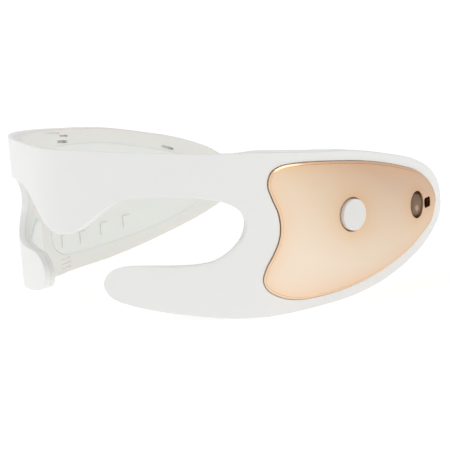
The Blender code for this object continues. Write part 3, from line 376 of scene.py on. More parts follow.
def round_edge(radius, depth=0.0, steps=ROUND_STEPS):
    """The (inset, depth) rings of a quarter round from a face at depth to the wall below it, with one ring
    just inside it that keeps the face flat."""
    angle = np.linspace(0, math.pi / 2, steps + 1)
    rings = [(radius * (1 - math.sin(a)), depth + radius * (1 - math.cos(a))) for a in angle]
    return [(FLAT_RING * radius, depth)] + rings


# The front moulding's body: walls carried round the outlines, and faces filled between them.
FACE_STEP = 0.0022
CLEAR_OF_EDGE = 0.7
SMOOTH_ANGLE = math.radians(38)
INSIDE_OUTLINE = 1
JOIN_WITHIN = 1e-9
BATCH = 200


def distance_to(points, others):
    """Each point's distance to the nearest of the others, which are taken in batches to save memory."""
    nearest = np.full(len(points), np.inf)
    for batch in np.array_split(others, max(1, len(others) // BATCH)):
        nearest = np.minimum(nearest, np.min(np.sum((points[:, None] - batch) ** 2, axis=2), axis=1))
    return np.sqrt(nearest)


def inside(points, starts, ends):
    """Which points the edges enclose: a line to the right of such a point crosses an odd number of them."""
    x, y = points.T[:, :, None]
    (x0, y0), (x1, y1) = starts.T, ends.T
    level = y0 == y1
    across = x0 + (y - y0) * (x1 - x0) / np.where(level, 1, y1 - y0)
    return np.sum(((y0 > y) != (y1 > y)) & (x < across), axis=1) % 2 == 1


def quads_between(number):
    """The quads between neighbouring rows of point numbers, each row closed on itself."""
    after = np.roll(number, -1, axis=1)
    return np.stack([number[:-1], number[1:], after[1:], after[:-1]], axis=2).reshape(-1, 4)


def solid_piece(name, points, faces, material, body):
    """A mesh as an object: smooth, sharp where two faces meet at a real edge, and carried by its body."""
    mesh = bpy.data.meshes.new(name)
    mesh.from_pydata(points.tolist(), [], faces)
    mesh.shade_smooth()
    mesh.set_sharp_from_angle(angle=SMOOTH_ANGLE)
    mesh.materials.append(material)
    made = new_object(name, mesh)
    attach(made, body)
    return made


class Moulding:
    """A closed body. Loops carry a profile of (inset, depth) rings, and each face is filled between loops."""

    def __init__(self):
        self.points = np.zeros((0, 3))
        self.quads = np.zeros((0, 4), int)
        self.triangles = np.zeros((0, 3), int)

    def wall(self, loop, rings):
        """A profile carried round a loop. Gives the first and last ring, as (point numbers, depth)."""
        number = len(self.points) + np.arange(len(rings) * len(loop)).reshape(len(rings), -1)
        made = [np.insert(drawn_in(loop, inset), 1, depth, axis=1) for inset, depth in rings]
        self.points = np.concatenate([self.points, *made])
        self.quads = np.concatenate([self.quads, quads_between(number)])
        return (number[0], rings[0][1]), (number[-1], rings[-1][1])

    def fill(self, rings, outwards, step=FACE_STEP):
        """A face between rings, over a grid of inner points. outwards: the face looks away from the head."""
        numbers = np.concatenate([ring for ring, _ in rings])
        depth = rings[0][1]
        edge = self.points[numbers][:, (0, 2)]
        low, high = edge.min(axis=0), edge.max(axis=0)
        grid = np.stack(np.meshgrid(*[np.arange(low[k] + step / 2, high[k], step) for k in (0, 1)]), -1)
        grid = grid.reshape(-1, 2)
        grid = grid[distance_to(grid, edge) > CLEAR_OF_EDGE * step]
        flat = np.concatenate([edge, grid])
        ring_ends = np.cumsum([len(ring) for ring, _ in rings])[:-1]
        after = np.concatenate([np.roll(part, -1) for part in np.split(np.arange(len(edge)), ring_ends)])
        bounds = list(enumerate(after.tolist()))
        _, _, triangles, sources, _, _ = delaunay_2d_cdt(
            flat.tolist(), bounds, [], INSIDE_OUTLINE, JOIN_WITHIN
        )
        if not all(sources):
            raise ValueError("two outlines of one face cross")
        triangles = np.array([source[0] for source in sources])[np.array(triangles)]
        triangles = triangles[inside(flat[triangles].mean(axis=1), edge, edge[after])]
        numbers = np.concatenate([numbers, len(self.points) + np.arange(len(grid))])
        self.points = np.concatenate([self.points, np.insert(grid, 1, depth, axis=1)])
        made = numbers[triangles if outwards else triangles[:, ::-1]]
        self.triangles = np.concatenate([self.triangles, made])

    def used(self):
        """The numbers of the points that faces use."""
        return np.unique(np.concatenate([self.quads.ravel(), self.triangles.ravel()]))

    def piece(self, name, material):
        """The bent mesh as a piece of the mask, of the used points alone."""
        used = self.used()
        number = np.zeros(len(self.points), int)
        number[used] = np.arange(len(used))
        faces = number[self.quads].tolist() + number[self.triangles].tolist()
        return solid_piece(name, bent(self.points[used]), faces, material, "mask")


# The front moulding's plastic: cloudy noise, fine relief and a darker tint over one pale colour.
def noise(shader, place, scale, detail):
    """A soft random pattern from 0 to 1, with scale features to the metre."""
    inputs = {"Vector": place, "Scale": scale, "Detail": detail}
    return shader.node("ShaderNodeTexNoise", None, inputs)["Fac"]


def relief(shader, height, strength, distance):
    """The normal of a surface that rises by height times distance."""
    inputs = {"Strength": strength, "Distance": distance, "Height": height}
    return shader.node("ShaderNodeBump", None, inputs)["Normal"]


def times(colour, factor):
    """A colour made darker or paler by a factor."""
    return tuple(c * factor for c in colour)


def plastic(name, colour, roughness, grain, coat=0.0, weight=0.0):
    """Moulded plastic: an even colour that varies faintly in soft clouds, and the fine grain of a
    spark-eroded mould.
    The weight is the share of light that goes under the surface."""
    shader = Shader(bpy.data.materials.new(name))
    place = shader.node("ShaderNodeTexCoord")["Object"]
    cloud = noise(shader, place, scale=55.0, detail=3.0)
    fine = noise(shader, place, scale=5200.0, detail=2.0)
    return shader.finished({
        "Base Color": shader.blend(cloud, times(colour, 0.965), colour),
        "Roughness": cloud * 0.08 + (roughness - 0.04),
        "Normal": relief(shader, fine, strength=grain, distance=0.0001),
        "Coat Weight": coat,
        "Coat Roughness": 0.08,
        "Subsurface Weight": weight,
        "Subsurface Scale": 0.004,
    })


# The front moulding's temples: a sunk seat for each plate, with the holes of the socket and the button and a
# pocket for the notch, and behind it a hollow for the works.
GAP = 0.0003
HAIR_ROUND = 0.00015
PLATE_THICKNESS = 0.0015
PLATE_RAISE = 0.0010
FRONT_WALL = 0.0024
LEDGE_WIDTH = 0.0025
PLATE_EDGE_SHARES = (
    (0.4650, 0.821), (0.4820, 0.850), (0.5210, 0.856), (0.6410, 0.813), (0.7215, 0.767), (0.8265, 0.683),
    (0.9000, 0.6035), (0.9500, 0.491), (0.9605, 0.402), (0.9350, 0.305), (0.8830, 0.241), (0.8300, 0.188),
    (0.7650, 0.143), (0.7050, 0.109), (0.6395, 0.084), (0.5620, 0.071), (0.5025, 0.078), (0.4675, 0.1065),
    (0.4410, 0.160), (0.4340, 0.215), (0.4415, 0.281), (0.4590, 0.358), (0.4730, 0.437), (0.4775, 0.510),
    (0.4750, 0.590), (0.4640, 0.680), (0.4575, 0.755),
)
COVER_EDGE_SHARES = (
    (0.4575, 0.285), (0.4620, 0.200), (0.4870, 0.139), (0.5280, 0.118), (0.6430, 0.121), (0.7490, 0.153),
    (0.8450, 0.215), (0.9120, 0.300), (0.9400, 0.410), (0.9280, 0.500), (0.8800, 0.592), (0.7870, 0.680),
    (0.6770, 0.762), (0.5660, 0.804), (0.4990, 0.808), (0.4680, 0.765), (0.4590, 0.650), (0.4570, 0.460),
)
BUTTON_SHARE = (0.6504, 0.496)
BUTTON_RADIUS = 0.0066
SOCKET_SHARE = (0.8690, 0.431)
SOCKET_RADIUS = 0.0058
SOCKET_WALL = 0.0008
SOCKET_FLANGE = 0.0006
SOCKET_FLANGE_THICKNESS = 0.0005
NOTCH_SHARE = (0.9187, 0.418)
NOTCH_SIZE = (0.0049, 0.0045)
NOTCH_CORNER = 0.0012
NOTCH_DEPTH = 0.0017


def temple(body, side):
    """One temple's seat, its holes and its hollow. Gives the seat's rim, which is in the front face, and the
    hollow's, which is in the split face."""
    seat_depth = PLATE_THICKNESS - PLATE_RAISE + GAP
    seat = drawn_in(side_loop(PLATE_EDGE_SHARES, side), -GAP)[::-1]
    seat_rim, seat_floor = body.wall(seat, round_edge(HAIR_ROUND, steps=2) + [(0, seat_depth)])
    flange_depth = seat_depth + SOCKET_FLANGE_THICKNESS + GAP
    socket = circle_loop(SOCKET_RADIUS + SOCKET_WALL + GAP, place_of(SOCKET_SHARE, side))[::-1]
    rings = [(SOCKET_FLANGE, seat_depth), (SOCKET_FLANGE, flange_depth), (0, flange_depth), (0, FRONT_WALL)]
    holes = [body.wall(socket, rings)]
    if side == LEFT:
        button = circle_loop(BUTTON_RADIUS + GAP, place_of(BUTTON_SHARE, LEFT))[::-1]
        holes.append(body.wall(button, [(0, seat_depth), (0, FRONT_WALL)]))
    notch = box_loop(NOTCH_SIZE, NOTCH_CORNER, place_of(NOTCH_SHARE, side))[::-1]
    notch_top, notch_floor = body.wall(notch, [(0, seat_depth), (0, NOTCH_DEPTH)])
    body.fill([notch_floor], outwards=True)
    body.fill([seat_floor, notch_top] + [hole[0] for hole in holes], outwards=True)
    hollow = drawn_in(side_loop(COVER_EDGE_SHARES, side), LEDGE_WIDTH)[::-1]
    hollow_floor, hollow_rim = body.wall(hollow, [(0, FRONT_WALL), (0, SPLIT_DEPTH)])
    body.fill([hollow_floor] + [hole[1] for hole in holes], outwards=False)
    return seat_rim, hollow_rim


def front_moulding():
    """The front shell: the band's outline with a round along its front edge, and the two temples in it."""
    body = Moulding()
    outline = band_loop()
    rings = round_edge(EDGE_ROUND) + [(edge_slope(outline, SPLIT_DEPTH), SPLIT_DEPTH)]
    rims = [body.wall(outline, rings), temple(body, LEFT), temple(body, RIGHT)]
    body.fill([front for front, _ in rims], outwards=True)
    body.fill([back for _, back in rims], outwards=False)
    material = plastic("pale_shell_plastic", (0.86, 0.86, 0.845), 0.34, 0.05, coat=0.35)
    shell = body.piece("front_moulding", material)
    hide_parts("front_shell")


front_moulding()


# The circuit boards: glass fibre boards under green solder mask, with tinned tracks that show through it. One
# stands in each temple, screwed to posts. The left one carries the switch, the right one the charging pins.
TRACK_SCALE = 520.0
TRACK_WIDTH = 0.11


def finish_node(names, material):
    """Gives the named nodes, which keep their plain shape, their material."""
    for name in names:
        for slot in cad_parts[name].material_slots:
            slot.material = material


def solder_mask(name, green, track):
    """A green lacquer, paler over the tracks, which are the borders of square cells: where the second nearest
    cell is hardly further than the nearest."""
    shader = Shader(bpy.data.materials.new(name))
    place = shader.node("ShaderNodeTexCoord")["Object"]
    far, near = (
        shader.node(
            "ShaderNodeTexVoronoi", {"distance": "MANHATTAN", "feature": feature},
            {"Vector": place, "Scale": TRACK_SCALE},
        )["Distance"]
        for feature in ("F2", "F1")
    )
    on_track = shader.math("LESS_THAN", far - near, TRACK_WIDTH)
    return shader.finished({
        "Base Color": shader.blend(on_track, green, track),
        "Roughness": 0.30 + on_track * 0.08,
        "Normal": relief(shader, on_track, strength=0.3, distance=0.00003),
    })


green_mask = solder_mask("green_solder_mask", (0.02, 0.15, 0.07), (0.05, 0.26, 0.12))
finish_node(["main_board", "charge_board"], green_mask)


# The cell and its pad: a lithium pouch cell in embossed aluminium film, held against the right shell by a
# closed-cell foam pad.
def embossed_film(name, colour):
    """Bright film with a fine embossed weave, crossed by a few soft creases, whose hollows are darkened by
    painted shade.
    """
    shader = Shader(bpy.data.materials.new(name))
    place = shader.node("ShaderNodeTexCoord")["Object"]
    weave = noise(shader, place, scale=1400.0, detail=1.0)
    crease = noise(shader, place, scale=90.0, detail=2.0)
    return shader.finished({
        "Base Color": shader.blend(crease, times(colour, 0.85), colour),
        "Metallic": 1.0,
        "Roughness": weave * 0.2 + 0.25,
        "Normal": relief(shader, weave * 0.4 + crease, strength=0.5, distance=0.0002),
    })


def closed_cell_foam(name, colour):
    """Dark foam: small round cells, with painted shade that darkens their hollows."""
    shader = Shader(bpy.data.materials.new(name))
    place = shader.node("ShaderNodeTexCoord")["Object"]
    cell = shader.node("ShaderNodeTexVoronoi", None, {"Vector": place, "Scale": 2200.0})["Distance"]
    return shader.finished({
        "Base Color": shader.blend(cell, colour, times(colour, 1.8)),
        "Roughness": cell * 0.1 + 0.85,
        "Normal": relief(shader, cell, strength=0.6, distance=0.0002),
    })


finish_node(["battery"], embossed_film("pouch_film", (0.58, 0.60, 0.63)))
finish_node(["battery_pad"], closed_cell_foam("pad_foam", (0.045, 0.045, 0.047)))


# The motors: a coin vibration motor in each temple, a drawn steel can over a black base, with an off-centre
# weight that spins on a fixed pin. The board screws and the sockets' ring nuts are steel too.
def bright_steel(name, colour):
    """Drawn or turned steel: fine scratches of brighter and duller polish over a soft cloud."""
    shader = Shader(bpy.data.materials.new(name))
    place = shader.node("ShaderNodeTexCoord")["Object"]
    inputs = {"Vector": place, "Scale": (400.0, 400.0, 6000.0)}
    scratch = noise(shader, shader.node("ShaderNodeMapping", None, inputs)["Vector"], scale=1.0, detail=2.0)
    cloud = noise(shader, place, scale=160.0, detail=2.0)
    return shader.finished({
        "Base Color": shader.blend(cloud, times(colour, 0.88), colour),
        "Metallic": 1.0,
        "Roughness": scratch * 0.16 + cloud * 0.06 + 0.18,
        "Normal": relief(shader, scratch, strength=0.15, distance=0.00005),
    })


steel = bright_steel("bright_steel", (0.62, 0.615, 0.60))
black_plastic = plastic("black_plastic", (0.035, 0.035, 0.037), 0.42, 0.12)
for label in ("left", "right"):
    finish_node([f"motor_can_{label}", f"motor_rotor_{label}", f"motor_pin_{label}"], steel)
    finish_node([f"board_screw_{label}_1", f"board_screw_{label}_2", f"socket_nut_{label}"], steel)
    finish_node([f"motor_base_{label}"], black_plastic)


# The switch, cables and connectors: a steel-cased tact switch with a black plunger on the left board, and
# amber film cables from board to board over the brow and from each board to its eye pad, in black connectors.
CONDUCTOR_PITCH = 0.0007
CONDUCTOR_SHARE = 0.55


def film_cable(name, film, copper):
    """Amber film: level copper conductors, at an even pitch up the cable, that show through it."""
    shader = Shader(bpy.data.materials.new(name))
    place = shader.node("ShaderNodeTexCoord")["Object"]
    height = shader.node("ShaderNodeSeparateXYZ", None, {"Vector": place})["Z"]
    step = shader.math("FRACT", height * (1 / CONDUCTOR_PITCH))
    conductor = shader.math("LESS_THAN", step, CONDUCTOR_SHARE)
    cloud = noise(shader, place, scale=120.0, detail=2.0)
    return shader.finished({
        "Base Color": shader.blend(conductor, film, copper),
        "Roughness": cloud * 0.12 + 0.26,
        "Normal": relief(shader, conductor, strength=0.2, distance=0.00003),
    })


amber_film = film_cable("amber_film", (0.52, 0.27, 0.05), (0.66, 0.36, 0.14))
finish_node(["flex_cable", "pad_lead_left", "pad_lead_right"], amber_film)
finish_node(["switch_body"], steel)
finish_node(["switch_plunger", "cable_connector_left", "cable_connector_right"], black_plastic)
finish_node(["lead_connector_left", "lead_connector_right"], black_plastic)


# The rear moulding: the inner shell, in a slightly greener and clearer plastic. It closes the hooks and the
# brow, with a stepped window for each temple's cover, a seat for each eye pad and short moulded grooves.
SEAM_GAP = 0.00012
INNER_GAP = 0.0001
COVER_THICKNESS = 0.0012
EYE_PAD_THICKNESS = 0.0020
EYE_PAD_SEAT = 0.0006
EYE_PAD_STUD_RADIUS = 0.0020
EYE_PAD_STUD_SHARE = (0.250, 0.172)
EYE_PAD_EDGE_SHARES = (
    (0.1120, 0.205), (0.1145, 0.232), (0.1240, 0.256), (0.1470, 0.281), (0.1870, 0.290), (0.2755, 0.281),
    (0.3490, 0.315), (0.3865, 0.378), (0.4035, 0.404), (0.4140, 0.382), (0.4155, 0.218), (0.4140, 0.073),
    (0.4005, 0.049), (0.3025, 0.077), (0.2160, 0.105), (0.1560, 0.141), (0.1245, 0.172),
)
COVER_GAPS = (0.00022, 0.00002)
COVER_GAP_END_SHARES = (0.470, 0.515)
RIM_ROUND = 0.00006
LOW_GROOVE_DEPTH = 0.0003
GROOVE_LENGTH = 0.0076
GROOVE_WIDTH = 0.0009
GROOVE_PITCH = 0.0021
GROOVE_CORNER_SHARE = 0.49
LOW_GROOVES_SHARE = (0.502, 0.0716)
HIGH_GROOVES = (
    ((0.499, 0.905), (0.0100, 0.0008), 0.0006),
    ((0.537, 0.871), (0.0062, 0.0009), 0.0013),
    ((0.531, 0.837), (0.0076, 0.0013), 0.0022),
)
HIGH_GROOVES_SLOPE = -0.15
REAR_SLOT_SHARE = (0.8353, 0.664)
REAR_SLOT_SIZE = (0.0068, 0.0013)
REAR_SLOT_SLOPE = -0.36
REAR_SLOT_DEPTH = 0.0016


def far_edge(radius, depth, steps=ROUND_STEPS):
    """The rings of round_edge on a face that looks inwards, from the wall to the face."""
    return [(inset, 2 * depth - place) for inset, place in reversed(round_edge(radius, depth, steps))]


def grooves(side):
    """A side's grooves, as (outline, depth): three low ones, three by the upper edge and the deeper rear
    slot."""
    corner = GROOVE_CORNER_SHARE
    made = []
    for row in (-1, 0, 1):
        place = place_of(LOW_GROOVES_SHARE, side) + (0, row * GROOVE_PITCH)
        made.append((box_loop((GROOVE_LENGTH, GROOVE_WIDTH), corner * GROOVE_WIDTH, place), LOW_GROOVE_DEPTH))
    for share, size, depth in HIGH_GROOVES:
        loop = box_loop(size, corner * size[1], place_of(share, side), side * HIGH_GROOVES_SLOPE)
        made.append((loop, depth))
    place = place_of(REAR_SLOT_SHARE, side)
    loop = box_loop(REAR_SLOT_SIZE, corner * REAR_SLOT_SIZE[1], place, side * REAR_SLOT_SLOPE)
    return made + [(loop, REAR_SLOT_DEPTH)]


def cover_window(body, side):
    """A temple's window with the ledge for its cover. The gap round the cover is wider at its front end.
    Gives the window's rims in the split face and the inner face."""
    near = SPLIT_DEPTH + SEAM_GAP
    ledge = TEMPLE_THICKNESS - COVER_THICKNESS - GAP
    window = side_loop(COVER_EDGE_SHARES, side)[::-1]
    gap = np.interp(np.abs(window[:, 0]) / BAND_LENGTH, COVER_GAP_END_SHARES, COVER_GAPS)
    rim = [(inset + gap, depth) for inset, depth in far_edge(RIM_ROUND, TEMPLE_THICKNESS, steps=2)]
    return body.wall(window, [(-LEDGE_WIDTH, near), (-LEDGE_WIDTH, ledge), (gap, ledge)] + rim)


def eye_pad_seat(body, side):
    """The shallow seat of an eye pad, with the hole for its stud. Gives the hole's rim in the split face and
    the seat's in the inner face."""
    seat_floor = TEMPLE_THICKNESS - EYE_PAD_SEAT - GAP
    seat = drawn_in(side_loop(EYE_PAD_EDGE_SHARES, side), -INNER_GAP)[::-1]
    floor_edge, seat_rim = body.wall(seat, [(0, seat_floor)] + far_edge(HAIR_ROUND, TEMPLE_THICKNESS))
    stud = circle_loop(EYE_PAD_STUD_RADIUS + GAP, place_of(EYE_PAD_STUD_SHARE, side))[::-1]
    hole_rim, hole_end = body.wall(stud, [(0, SPLIT_DEPTH + SEAM_GAP), (0, seat_floor)])
    body.fill([floor_edge, hole_end], outwards=False)
    return hole_rim, seat_rim


def rear_moulding():
    """The inner shell: the band's outline with its round on the inner side, open at the covers' windows."""
    body = Moulding()
    outline = band_loop()
    rings = [
        (inset + edge_slope(outline, depth), depth)
        for inset, depth in [(0, SPLIT_DEPTH + SEAM_GAP)] + far_edge(EDGE_ROUND, TEMPLE_THICKNESS)
    ]
    split, inner = body.wall(outline, rings)
    face, back = [inner], [split]
    groove_edge = far_edge(HAIR_ROUND / 2, TEMPLE_THICKNESS, steps=2)
    for side in (LEFT, RIGHT):
        for split_rim, inner_rim in (cover_window(body, side), eye_pad_seat(body, side)):
            back.append(split_rim)
            face.append(inner_rim)
        for loop, depth in grooves(side):
            bottom, top = body.wall(loop[::-1], [(0, TEMPLE_THICKNESS - depth)] + groove_edge)
            body.fill([bottom], outwards=False)
            face.append(top)
    body.fill(back, outwards=True)
    body.fill(face, outwards=False)
    material = plastic("clear_white_inner_plastic", (0.85, 0.84, 0.80), 0.38, 0.04, coat=0.3, weight=0.15)
    shell = body.piece("rear_moulding", material)
    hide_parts("rear_shell")


rear_moulding()


# The temple covers: thin inset lids of the same plastic that close each temple from inside. They snap on to
# the ledge, and four raised brackets are moulded in a row along each.
MARK_SHARES = ((0.493, 0.174), (0.5605, 0.162), (0.628, 0.183), (0.6955, 0.198))
MARK_SIZE = (0.0040, 0.0055)
MARK_STEM = 0.0007
MARK_ARM = 0.0010
MARK_RAISE = 0.0007
CHARGE_SHARE = (0.528, 0.515)
CHARGE_PIN_RADIUS = 0.0013
CHARGE_PIN_SPACING = 0.0060


def mark_loop(share, side):
    """One bracket: a stem with an arm from its top towards the rear."""
    width, height = MARK_SIZE
    bracket = np.array((
        (0, 0), (MARK_STEM, 0), (MARK_STEM, height - MARK_ARM), (width, height - MARK_ARM),
        (width, height), (0, height),
    ))
    return anticlockwise((bracket + place_of(share, LEFT)) * (side, 1))


def charge_places():
    """The places (along, up) of the two charging pins, one above the other."""
    along, up = place_of(CHARGE_SHARE, RIGHT)
    return [np.array((along, up + sign * CHARGE_PIN_SPACING / 2)) for sign in (1, -1)]


def temple_cover(label, side, material):
    """A lid with a fine round on its inner face, from which the brackets stand."""
    body = Moulding()
    near = TEMPLE_THICKNESS - COVER_THICKNESS
    rim = far_edge(RIM_ROUND, TEMPLE_THICKNESS, steps=2)
    back, inner = body.wall(side_loop(COVER_EDGE_SHARES, side), [(0, near)] + rim)
    face, hidden = [inner], [back]
    mark_edge = far_edge(HAIR_ROUND / 2, TEMPLE_THICKNESS + MARK_RAISE, steps=2)[:-1]
    for share in MARK_SHARES:
        foot, top = body.wall(mark_loop(share, side), [(0, TEMPLE_THICKNESS)] + mark_edge)
        body.fill([top], outwards=False)
        face.append(foot)
    hole_edge = far_edge(HAIR_ROUND, TEMPLE_THICKNESS, steps=2)
    pin_places = charge_places() if side == RIGHT else []
    for place in pin_places:
        hole = circle_loop(CHARGE_PIN_RADIUS + GAP, place, EDGE_STEP / 3)[::-1]
        hole_back, hole_rim = body.wall(hole, [(0, near)] + hole_edge)
        hidden.append(hole_back)
        face.append(hole_rim)
    body.fill(hidden, outwards=True)
    body.fill(face, outwards=False)
    lid = body.piece(f"cover_{label}", material)
    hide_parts(f"temple_cover_{label}")


cover_plastic = plastic("cover_plastic", (0.885, 0.875, 0.835), 0.36, 0.05, coat=0.3, weight=0.15)
temple_cover("left", LEFT, cover_plastic)
temple_cover("right", RIGHT, cover_plastic)


# The eye pads: soft moulded silicone under each eye, with a rounded edge. Each is pressed into its shallow
# seat and held by the stud that passes through the shell.
CABLE_BACK = 0.0038
PAD_ROUND = 0.0013


def eye_pad(label, side, material):
    """A pad with a wide round on its skin side, and its stud behind."""
    body = Moulding()
    near = TEMPLE_THICKNESS - EYE_PAD_SEAT
    skin_edge = far_edge(PAD_ROUND, near + EYE_PAD_THICKNESS, steps=8)
    back, skin = body.wall(side_loop(EYE_PAD_EDGE_SHARES, side), [(0, near)] + skin_edge)
    stud = circle_loop(EYE_PAD_STUD_RADIUS, place_of(EYE_PAD_STUD_SHARE, side))
    tip, root = body.wall(stud, [(0, CABLE_BACK + GAP), (0, near)])
    body.fill([tip], outwards=True)
    body.fill([back, root], outwards=True)
    body.fill([skin], outwards=False)
    pad = body.piece(f"pad_{label}", material)
    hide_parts(f"eye_pad_{label}")


pad_silicone = plastic("pad_silicone", (0.93, 0.92, 0.895), 0.52, 0.12, weight=0.15)
eye_pad("left", LEFT, pad_silicone)
eye_pad("right", RIGHT, pad_silicone)


# The temple plates: thin aluminium with a polished rose gold finish, pressed to the temple's bend and glued
# in the shell's seat. Each is pierced for the strap socket and its notch, and the left one for the button.
PLATE_NOTCH_SHARE = (0.9153, 0.419)
PLATE_NOTCH_SIZE = (0.0062, 0.0042)
PLATE_STEP = 0.0011
BEVEL = 0.0006
BEVEL_DEPTH = 0.00035
LINE_WIDTH = 0.0002
LINE_DEPTH = 0.0001
BUTTON_HOLE_ROUND = 0.0005
HOLE_ROUND = 0.0002
# Painted shade and reflection on the plated metals: the colour is painted paler low at the front and deeper
# high at the rear, with a soft cloud in it.
PAINTED_SHADE_BACK = 340.0
PAINTED_SHADE_UP = 19.1
PAINTED_SHADE_CLOUD = 0.10
PAINTED_SHADE_START = 0.337
PAINTED_SHADE_MIDDLE = 0.36
# Painted shade and reflection at the plates' edges: within this reach of an edge, the colour is multiplied by
# a deeper, rosier rim colour.
EDGE_SHADE_REACH = 0.0042


def polished_metal(name, pale, middle, deep, roughness, rim=(1, 1, 1)):
    """Plated metal, with painted shade and reflection. Its colour is painted from pale at the low front, past
    the middle one, to deep at the high rear, as it would reflect a bright floor below and a dimmer room
    above: this painted shade grows with height, faster towards the back, and a soft cloud varies it. Within a
    few millimetres of an edge it is multiplied by the rim's colour, a painted shade and reflection of the
    edge. The polish varies a little."""
    shader = Shader(bpy.data.materials.new(name))
    place = shader.node("ShaderNodeTexCoord")["Object"]
    cloud = noise(shader, place, scale=38.0, detail=2.0)
    parts = shader.node("ShaderNodeSeparateXYZ", None, {"Vector": place})
    painted_shade_and_cloud = (parts["Y"] * PAINTED_SHADE_BACK + PAINTED_SHADE_UP) * parts["Z"] + cloud * PAINTED_SHADE_CLOUD - PAINTED_SHADE_START
    tint = shader.blend((painted_shade_and_cloud * (1 / PAINTED_SHADE_MIDDLE)).clamped(), pale, middle)
    tint = shader.blend(((painted_shade_and_cloud - PAINTED_SHADE_MIDDLE) * (1 / (1 - PAINTED_SHADE_MIDDLE))).clamped(), tint, deep)
    # Painted shade and reflection: the colour is deepened towards each edge by the distance in from_edge.
    edge = shader.node("ShaderNodeAttribute", {"attribute_name": "from_edge"})["Fac"]
    painted_edge_shade = shader.math("EXPONENT", edge * (-1 / EDGE_SHADE_REACH))
    return shader.finished({
        "Base Color": shader.blend(painted_edge_shade, tint, rim, "MULTIPLY"),
        "Metallic": 1.0,
        "Roughness": cloud * 0.06 + (roughness - 0.03),
    })


def accent_plate(label, side, material):
    """The plate: its outline with a flat bevel and a fine engraved line inside it, and a round on each hole.
    The attribute from_edge is each point's distance to the nearest outline."""
    body = Moulding()
    back, front = PLATE_THICKNESS - PLATE_RAISE, -PLATE_RAISE
    outline = side_loop(PLATE_EDGE_SHARES, side, EDGE_STEP / 2)
    line = [BEVEL + LINE_WIDTH * step for step in (2, 1.5, 1)]
    rings = [
        (line[0] + LINE_WIDTH / 2, front), (line[0], front), (line[1], front + LINE_DEPTH), (line[2], front),
        (BEVEL, front), (0, front + BEVEL_DEPTH), (0, back),
    ]
    ends = [body.wall(outline, rings)]
    notch = box_loop(PLATE_NOTCH_SIZE, NOTCH_CORNER, place_of(PLATE_NOTCH_SHARE, side))
    holes = [(circle_loop(SOCKET_RADIUS, place_of(SOCKET_SHARE, side)), HOLE_ROUND), (notch, HOLE_ROUND)]
    if side == LEFT:
        holes.append((circle_loop(BUTTON_RADIUS + GAP, place_of(BUTTON_SHARE, LEFT)), BUTTON_HOLE_ROUND))
    for hole, radius in holes:
        ends.append(body.wall(hole[::-1], round_edge(radius, front, steps=3) + [(0, back)]))
    body.fill([ring for ring, _ in ends], outwards=True, step=PLATE_STEP)
    body.fill([behind for _, behind in ends], outwards=False)
    edges = np.concatenate([outline] + [hole for hole, _ in holes])
    distance = distance_to(body.points[body.used()][:, (0, 2)], edges)
    plate = body.piece(f"plate_{label}", material)
    plate.data.attributes.new("from_edge", "FLOAT", "POINT").data.foreach_set("value", distance)
    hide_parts(f"accent_plate_{label}")


# The last colour is the rim's: painted shade and reflection that deepen the plates' edges.
rose_gold = polished_metal(
    "rose_gold", (0.84, 0.71, 0.575), (0.76, 0.605, 0.45), (0.62, 0.45, 0.325), 0.20, (0.99, 0.85, 0.72)
)
accent_plate("left", LEFT, rose_gold)
accent_plate("right", RIGHT, rose_gold)


# The power button: a pale moulded cap through the left plate, slightly crowned. Its flange behind the shell
# keeps it in, and it moves inwards against the switch.
BUTTON_RAISE = 0.00174
BUTTON_DOME = 0.00025
BUTTON_ROUND = 0.0006
BUTTON_FLANGE = 0.0009
BUTTON_FLANGE_THICKNESS = 0.0008
CROWN_POINTS = 9
TURNED_SIDES = 96


def standing_at(share, side):
    """A matrix that stands a rigid piece, drawn as (along, depth, up), on the band's outer face."""
    run, up = share[0] * BAND_LENGTH, share[1] * BAND_HEIGHT
    x, y = np.interp(run, run_fine, plan_x), np.interp(run, run_fine, plan_y)
    turn = side * float(np.interp(run, run_fine, turn_fine))
    return standing @ Matrix.Translation((side * x, y, up)) @ Matrix.Rotation(turn, 4, "Z")


def turned_piece(name, profile, where, material, body="mask"):
    """A profile of (radius, depth) carried round the depth axis. Its two ends lie on the axis, as one point
    each."""
    angle = np.arange(TURNED_SIDES) * 2 * math.pi / TURNED_SIDES
    ring = np.stack([np.cos(angle), np.zeros(TURNED_SIDES), np.sin(angle)], axis=1)
    radius, depth = np.array(profile[1:-1]).T
    rings = radius[:, None, None] * ring + depth[:, None, None] * np.array((0, 1, 0))
    points = np.concatenate([[(0, profile[0][1], 0)], rings.reshape(-1, 3), [(0, profile[-1][1], 0)]])
    number = 1 + np.arange(len(radius) * TURNED_SIDES).reshape(-1, TURNED_SIDES)
    first = np.stack([np.zeros(TURNED_SIDES, int), number[0], np.roll(number[0], -1)], axis=1)
    last = np.stack([np.full(TURNED_SIDES, len(points) - 1), np.roll(number[-1], -1), number[-1]], axis=1)
    faces = quads_between(number).tolist() + first.tolist() + last.tolist()
    return solid_piece(name, moved(points, where), faces, material, body)


